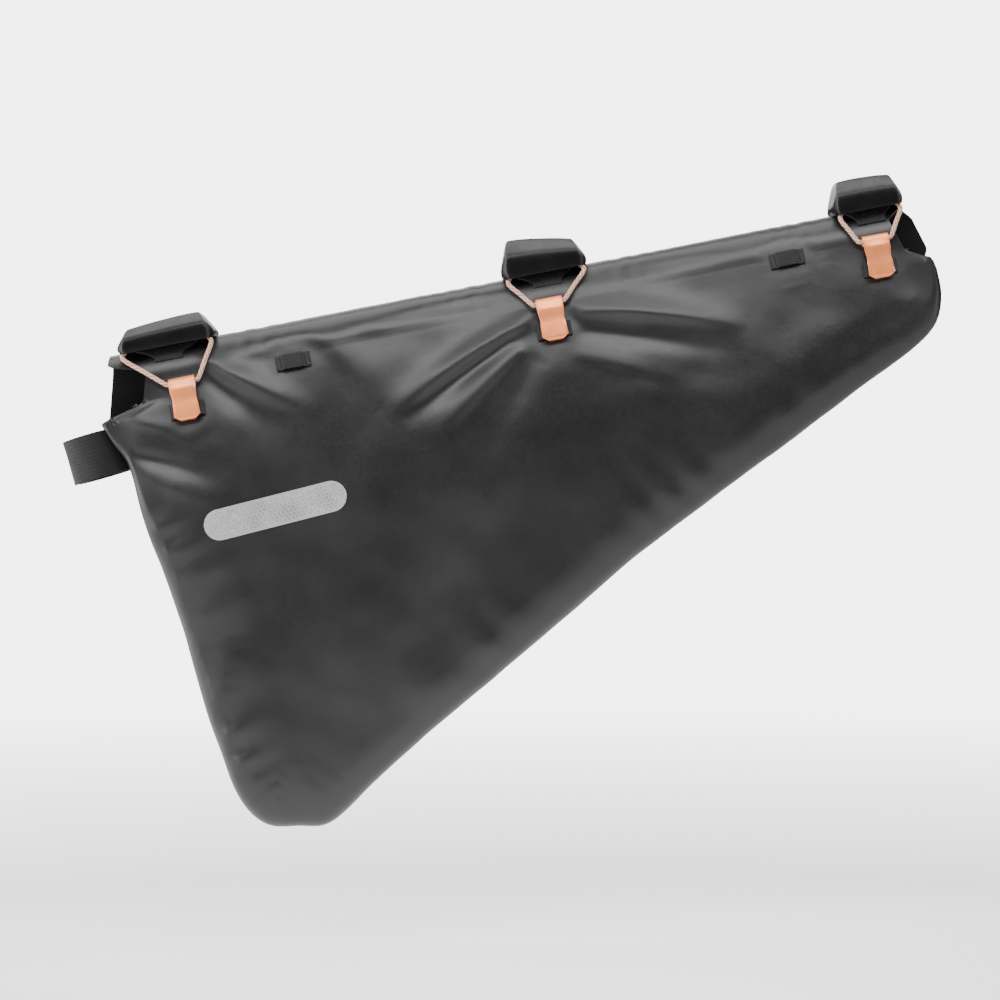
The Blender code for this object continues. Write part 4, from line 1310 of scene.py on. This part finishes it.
def make_saddle(name, node, place, length, rear_height, front_height, finish):
    """A padded block that arches over the wrapped tube."""
    centre = saddle_centre(place)
    start_primitive()
    bpy.ops.mesh.primitive_cube_add(size=1.0)
    piece = name_piece(bpy.context.object, name)
    with editing(piece):
        bpy.ops.mesh.subdivide(number_cuts=15)
    unit = read_points(piece) * 2
    half = 0.0005 * length
    inner_radius = TUNNEL_OUTER + 0.0019
    skirt = TUNNEL_OUTER - 0.0016
    side = TUNNEL_OUTER + 0.0030
    steps = np.linspace(0, 1, len(SADDLE_STEPS))
    across, up_share = np.array(SADDLE_ACROSS).T
    along_up, along_share = np.array(SADDLE_ALONG).T
    placed = np.zeros_like(unit)
    wear_and_painted_highlight = np.zeros(len(unit))
    for i, (a, b, c) in enumerate(unit):
        rise = 0.5 * (c + 1)
        run = math.copysign(np.interp(abs(a), steps, SADDLE_STEPS), a)
        height = 0.001 * (rear_height + (front_height - rear_height) * (0.5 + 0.5 * run))
        top = TUNNEL_OUTER + height * (1.0 - 0.05 * abs(run) ** 3)
        outer_y = math.copysign(side * np.interp(abs(b), steps, across), b)
        outer_up = skirt + (top - skirt) * np.interp(abs(b), steps, up_share)
        angle = b * math.acos(skirt / inner_radius)
        inner_y = inner_radius * math.sin(angle)
        inner_y += math.copysign((side - 0.0040 - abs(inner_y)) * abs(b) ** 5, b)
        y = inner_y + (outer_y - inner_y) * rise
        up = inner_radius * math.cos(angle) * (1 - rise) + outer_up * rise
        share = ramp(up, skirt, top - skirt)
        reach = half * np.interp(share, along_up, along_share)
        bulge = 1.0 - 0.10 * max(abs(y) / side - 0.80, 0.0) / 0.20
        placed[i] = centre + TUBE_ALONG * (run * reach * bulge) + ACROSS * y + TUBE_UP * up
        # Painted highlight: the upper chamfer and the upper ends of the saddle turn light grey.
        on_chamfer = 1.0 - ramp(abs(abs(b) - 0.56), 0.09, 0.05)
        wear_and_painted_highlight[i] = max(rise - 0.6, 0.0) * 2.5 * max(on_chamfer, ramp(abs(a), 0.86, 0.1))
    move_points(piece, placed)
    store_mask(piece, "rubbed_and_painted_light", wear_and_painted_highlight)
    add_subdivision(piece, 2)
    finish_mesh(piece, 60.0)
    return dress(piece, finish, node)


def make_saddle_strap(name, place, length):
    """The webbing under a saddle, wider under the pad than at its sewn ends."""
    radius = TUNNEL_OUTER + 0.00095
    end_reach = 0.0085
    pad_reach = 0.66 * 0.0005 * length
    shares = np.linspace(-1, 1, 15)
    ribs = []
    for turn in np.linspace(-1, 1, 49):
        angle = turn * math.radians(61)
        reach = end_reach + (pad_reach - end_reach) * (1 - ramp(abs(turn), 0.42, 0.42))
        middle = ACROSS * (radius * math.sin(angle)) + TUBE_UP * (radius * math.cos(angle))
        ribs.append(np.array(saddle_centre(place) + middle) + np.outer(reach * shares, TUBE_ALONG))
    piece = make_strip(name, np.array(ribs), 0.0011, 0.0003)
    return dress(piece, webbing_material())


# Cords


def cord_route(place, length, origin, out):
    """A cord's way: out of the saddle's lower edge near one end, round the hook's eye and back."""
    origin, along, up, out = loop_frame(origin, out)
    centre = saddle_centre(place)
    half = 0.0005 * length
    across, rise = -0.62 * TUNNEL_OUTER, TUNNEL_OUTER + 0.0014
    eye = origin + up * EYE_SPOT[0] + out * EYE_SPOT[1]
    arms = []
    for end in (-1.0, 1.0):
        arm = [
            centre + TUBE_ALONG * end * (half - back) + ACROSS * (across - aside) + TUBE_UP * (rise - down)
            for back, aside, down in CORD_EXIT
        ]
        lip = eye + along * end * (0.5 * HOOK_WIDTH + 0.0026) + up * 0.0013
        arm += [arm[-1].lerp(lip, 0.5), lip]
        arm += [eye + along * end * share * HOOK_WIDTH for share in (0.52, 0.20)]
        arms.append(arm)
    return arms[0] + arms[1][::-1]


def cord_line(points, steps):
    """The route drawn smoothly, closed by the straight part inside the saddle."""
    rows = np.array([tuple(point) for point in points])
    last = len(rows) - 1
    line = smooth_rows(rows, np.linspace(0, last, last * steps + 1))
    straight = np.linspace(line[-1], line[0], 12)[1:-1]
    return np.concatenate([line, straight])


def cord_mesh(name, line, radius, sides=14):
    """A round cord along a closed line, with its UV map as (metres along, share round)."""
    count = len(line)
    ahead = np.roll(line, -1, axis=0) - np.roll(line, 1, axis=0)
    ahead /= np.linalg.norm(ahead, axis=1)[:, None]
    normal = np.cross(ahead[0], [0.0, 0.0, 1.0])
    normals = []
    for direction in ahead:
        normal = normal - direction * (normal @ direction)
        normal /= np.linalg.norm(normal)
        normals.append(normal)
    normals = np.array(normals)
    sideways = np.cross(ahead, normals)
    closing = math.atan2(normals[-1] @ sideways[0], normals[-1] @ normals[0])
    ring = np.arange(count + 1) % count
    corner = np.arange(sides + 1)
    twist = np.where(ring == 0, 0.0, -closing * ring / count)
    angle = (twist[:, None] + 2 * math.pi * (corner % sides) / sides)[..., None]
    round_it = normals[ring][:, None] * np.cos(angle) + sideways[ring][:, None] * np.sin(angle)
    points = line[ring][:, None] + round_it * radius
    run = running_length(np.vstack([line, line[:1]]))
    lengths = np.stack(np.broadcast_arrays(run[:, None], corner / sides), axis=2)
    piece = cloth_grid(name, points, lengths)
    merge_doubles(piece, 0.000004)
    return finish_mesh(piece, 80.0)


# Label patch


def make_label(finish):
    """The round-ended reflective patch, pressed on the near panel."""
    surface = cloth_surface()
    columns, rows = 61, 13
    radius = 0.5 * LABEL_WIDTH
    straight = 0.5 * LABEL_LENGTH - radius
    points = np.zeros((rows, columns, 3))
    lengths = np.zeros((rows, columns, 2))
    rim = np.zeros((rows, columns))
    turned = Matrix.Rotation(-LABEL_TILT, 3, "Y")
    for j in range(columns):
        share = 2 * j / (columns - 1) - 1
        swing = math.sin(0.5 * math.pi * share)
        a = 0.5 * LABEL_LENGTH * (0.5 * share + 0.5 * swing)
        past = max(abs(a) - straight, 0.0)
        reach = math.sqrt(max(radius**2 - past**2, (0.16 * radius) ** 2))
        for i in range(rows):
            b = reach * math.sin(0.5 * math.pi * (2 * i / (rows - 1) - 1))
            spot = LABEL_CENTRE + turned @ Vector((a, 0.0, b))
            hit, normal, _, _ = surface.ray_cast(Vector((spot.x, -0.3, spot.z)), ACROSS)
            if normal.y > 0:
                normal = -normal
            points[i, j] = hit + normal * LABEL_LIFT
            lengths[i, j] = (a, b)
            # The mask turns a band round the rim into plain mid grey, without cells.
            inside = min(reach - abs(b), 0.5 * LABEL_LENGTH - abs(a))
            rim[i, j] = ramp(LABEL_RIM - inside, 0.0, 0.0004)
    for _ in range(3):
        around = points[:-2, 1:-1] + points[2:, 1:-1] + points[1:-1, :-2] + points[1:-1, 2:]
        smoothed = points.copy()
        smoothed[1:-1, 1:-1] = around / 4
        smoothed[..., 1] = np.minimum(smoothed[..., 1], points[..., 1])
        points = smoothed
    piece = cloth_grid("label_film", points, lengths)
    store_mask(piece, "rubbed_and_painted_light", rim)
    add_wall(piece, LABEL_THICKNESS)
    add_bevel(piece, 0.00022, 2)
    finish_mesh(piece, 45.0)
    return dress(piece, finish, "label_patch")


# Seat tube strap


def make_seat_strap():
    """A strap wound round the seat tube, its end pressed over its start."""
    centre, along, forward = seat_tube_frame()
    shares = np.linspace(-1, 1, 17)
    wound = []
    for turned in np.linspace(0, 2 * math.pi + STRAP_OVERLAP, 121):
        over = soften(ramp(turned, 2 * math.pi - 0.6, 0.6))
        radius = SEAT_STRAP_RADIUS + 0.5 * SEAT_STRAP_THICKNESS + (SEAT_STRAP_THICKNESS + GAP) * over
        uneven = 0.00012 * np.sin(9.0 * turned + 2.0 * shares)
        angle = STRAP_BEGIN + turned
        ray = forward * math.cos(angle) - np.array(ACROSS) * math.sin(angle)
        wound.append(
            centre + np.outer(radius + uneven, ray) + np.outer(0.5 * SEAT_STRAP_WIDTH * shares, along)
        )
    piece = make_strip("seat_tube_strap", np.array(wound), SEAT_STRAP_THICKNESS - 0.0003, 0.0004)
    # Painted shadow: the strap's colour darkens on the side that meets the pouch.
    to_pouch = (read_points(piece) - centre) @ forward
    store_mask(piece, "painted_light_and_shade", ramp(to_pouch, -0.004, 0.010))
    finish = webbing_material("Strap Webbing", (0.0062, 0.0062, 0.0065), 0.0021)
    return dress(piece, finish, "seat_strap")


# Studio


def pale_floor(settings):
    """Plain floor that glows near the bag, painted light that lights it from below, and grows into the white
    of the studio far from the bag.
    """
    on = Finish("Pale Floor", {"Specular IOR Level": 0.2, "Emission Strength": 1.0})
    here = on.place()
    speckle = on.noise(here, 3.0, 4.0)[0]
    colour = tuple(settings.floor_colour)
    base = on.mix(speckle, colour, tuple(channel * 0.985 for channel in colour))
    on.give(base, on.remap(speckle, 0.0, 1.0, 0.78, 0.86))
    far = on.add("ShaderNodeVectorMath", {0: here}, operation="LENGTH").outputs["Value"]
    # Painted light: the floor glows near the bag and lights it from below.
    near_glow = on.remap(far, 0.34, 0.60, 1.1, 0.0)
    shine = on.add("ShaderNodeCombineXYZ", {0: near_glow, 1: near_glow, 2: near_glow})
    on.feed(on.shader.inputs["Emission Color"], shine.outputs[0])
    share = on.times(on.remap(far, 0.25, 2.4, 0.0, 1.0), on.seen_by_camera())
    white = on.add("ShaderNodeEmission", {"Color": (1.0, 1.0, 1.0), "Strength": WHITE_SEEN})
    mixed = on.mix_shaders(share, on.shader.outputs[0], white.outputs[0])
    on.feed(on.tree.nodes["Material Output"].inputs[0], mixed)


def make_floor(settings):
    start_primitive()
    bpy.ops.mesh.primitive_plane_add(size=24.0, location=(0.0, 0.0, 0.0))
    floor = bpy.context.object
    floor.name = "pale_floor"
    with editing(floor):
        bpy.ops.mesh.subdivide(number_cuts=5)
    low, _ = CAD_BOX
    floor.data.transform(Matrix.Translation((0.0, 0.0, low[2] - settings.floor_drop)))
    floor.data.materials.append(material_named("Pale Floor", pale_floor, settings))


def light_studio(key_power):
    for name, spot, width, height, share in SOFTBOXES:
        start_primitive()
        bpy.ops.object.light_add(type="AREA", location=spot)
        made = name_piece(bpy.context.object, name)
        made.data.shape = "RECTANGLE"
        made.data.size = width
        made.data.size_y = height
        made.data.energy = share * key_power
        aim = Vector(LIGHTS_TARGET) - Vector(spot)
        made.rotation_euler = aim.to_track_quat("-Z", "Y").to_euler()
        made.visible_camera = False
    world = bpy.data.worlds.new("Studio White")
    bpy.context.scene.world = world
    world.use_nodes = True
    world.node_tree.nodes.clear()
    on = Shading(world.node_tree)
    seen = on.add("ShaderNodeBackground", {"Color": (1.0, 1.0, 1.0), "Strength": WHITE_SEEN})
    felt = on.add("ShaderNodeBackground", {"Color": (0.95, 0.97, 1.0), "Strength": 0.03})
    mixed = on.mix_shaders(on.seen_by_camera(), felt.outputs[0], seen.outputs[0])
    on.add("ShaderNodeOutputWorld", {0: mixed})


def place_camera(width):
    """Looks at the bag straight from its near side, as the photograph does."""
    x, y, z = (0.5 * (low + high) for low, high in zip(*CAD_BOX))
    distance = width * CAMERA_LENS / CAMERA_SENSOR
    start_primitive()
    bpy.ops.object.camera_add(location=(x, y - distance, z), rotation=(math.radians(90.0), 0.0, 0.0))
    camera = bpy.context.object
    camera.name = "picture_camera"
    camera.data.lens = CAMERA_LENS
    camera.data.sensor_width = CAMERA_SENSOR
    camera.data.clip_start = 0.01
    camera.data.clip_end = 60.0
    bpy.context.scene.camera = camera


# Operators


class FRAMEBAG_OT_pouch(bpy.types.Operator):
    """Sew the pouch's cloth over the top tube and down to its seams"""

    bl_idname = "framebag.pouch"
    bl_label = "Pouch Cloth"

    def execute(self, context):
        make_pouch(context.scene.bag_cloth)
        return {"FINISHED"}


class FRAMEBAG_OT_loops(bpy.types.Operator):
    """Sew on the webbing loops that the hooks catch, and the free ones"""

    bl_idname = "framebag.loops"
    bl_label = "Webbing Loops"

    def execute(self, context):
        make_webbing_loops()
        return {"FINISHED"}


class FRAMEBAG_OT_saddles(bpy.types.Operator):
    """Set the padded saddles and their straps on the wrapped tube"""

    bl_idname = "framebag.saddles"
    bl_label = "Saddles"

    def execute(self, context):
        finish = material_named("Saddle Rubber", saddle_cloth)
        for name, place, length, rear, front, _, _ in CLOSURES:
            make_saddle(f"saddle_{name}", f"saddle_pad_{name}", place, length, rear, front, finish)
            make_saddle_strap(f"saddle_strap_{name}", place, length)
        return {"FINISHED"}


class FRAMEBAG_OT_hooks(bpy.types.Operator):
    """Bend the anodised hooks over their cords and under their loops"""

    bl_idname = "framebag.hooks"
    bl_label = "Hooks"

    def execute(self, context):
        make_hooks(material_named("Anodised Hooks", anodised_metal, context.scene.bag_hardware))
        return {"FINISHED"}


class FRAMEBAG_OT_cords(bpy.types.Operator):
    """Thread a braided cord through each saddle and its hook"""

    bl_idname = "framebag.cords"
    bl_label = "Cords"

    def execute(self, context):
        hardware = context.scene.bag_hardware
        finish = material_named("Braided Cord", braided_cord, hardware)
        for name, place, length, _, _, origin, out in CLOSURES:
            line = cord_line(cord_route(place, length, origin, out), 7)
            piece = cord_mesh(f"cord_{name}", line, hardware.cord_radius)
            dress(piece, finish, f"cord_loop_{name}")
        return {"FINISHED"}


class FRAMEBAG_OT_label(bpy.types.Operator):
    """Press the plain reflective patch on the near panel"""

    bl_idname = "framebag.label"
    bl_label = "Reflective Patch"

    def execute(self, context):
        make_label(material_named("Reflective Patch", reflective_film))
        return {"FINISHED"}


class FRAMEBAG_OT_seat_strap(bpy.types.Operator):
    """Wind the strap round the seat tube"""

    bl_idname = "framebag.seat_strap"
    bl_label = "Seat Tube Strap"

    def execute(self, context):
        make_seat_strap()
        return {"FINISHED"}


class FRAMEBAG_OT_studio(bpy.types.Operator):
    """Lay the pale floor, light it softly and place the camera"""

    bl_idname = "framebag.studio"
    bl_label = "Studio"

    def execute(self, context):
        settings = context.scene.bag_studio
        make_floor(settings)
        light_studio(settings.key_power)
        place_camera(settings.picture_width)
        return {"FINISHED"}


class FRAMEBAG_PT_sidebar(bpy.types.Panel):
    """The pieces of the frame bag, in the order in which they are made"""

    bl_label = "Frame Bag"
    bl_idname = "FRAMEBAG_PT_sidebar"
    bl_space_type = "VIEW_3D"
    bl_region_type = "UI"
    bl_category = "Frame Bag"

    def draw(self, context):
        layout = self.layout
        for group, names in (
            (context.scene.bag_cloth, ("colour", "worn_and_highlight_colour", "fold_depth", "weave_pitch")),
            (context.scene.bag_hardware, ("hook_colour", "cord_colour", "cord_radius")),
            (context.scene.bag_studio, ("floor_drop", "floor_colour", "picture_width", "key_power")),
        ):
            box = layout.box()
            for name in names:
                box.prop(group, name)
        for operator in OPERATORS:
            layout.operator(operator.bl_idname)


SETTINGS = (ClothSettings, HardwareSettings, StudioSettings)
OPERATORS = (
    FRAMEBAG_OT_studio,
    FRAMEBAG_OT_pouch,
    FRAMEBAG_OT_loops,
    FRAMEBAG_OT_saddles,
    FRAMEBAG_OT_hooks,
    FRAMEBAG_OT_cords,
    FRAMEBAG_OT_label,
    FRAMEBAG_OT_seat_strap,
)


def register():
    for kind in SETTINGS + OPERATORS + (FRAMEBAG_PT_sidebar,):
        bpy.utils.register_class(kind)
    bpy.types.Scene.bag_cloth = bpy.props.PointerProperty(type=ClothSettings)
    bpy.types.Scene.bag_hardware = bpy.props.PointerProperty(type=HardwareSettings)
    bpy.types.Scene.bag_studio = bpy.props.PointerProperty(type=StudioSettings)


def unregister():
    del bpy.types.Scene.bag_studio
    del bpy.types.Scene.bag_hardware
    del bpy.types.Scene.bag_cloth
    for kind in reversed(SETTINGS + OPERATORS + (FRAMEBAG_PT_sidebar,)):
        bpy.utils.unregister_class(kind)


def main():
    register()
    build_groups()
    bpy.ops.framebag.studio()
    bpy.ops.framebag.pouch()
    bpy.ops.framebag.loops()
    bpy.ops.framebag.saddles()
    bpy.ops.framebag.hooks()
    bpy.ops.framebag.cords()
    bpy.ops.framebag.label()
    bpy.ops.framebag.seat_strap()


if __name__ == "__main__":
    main()
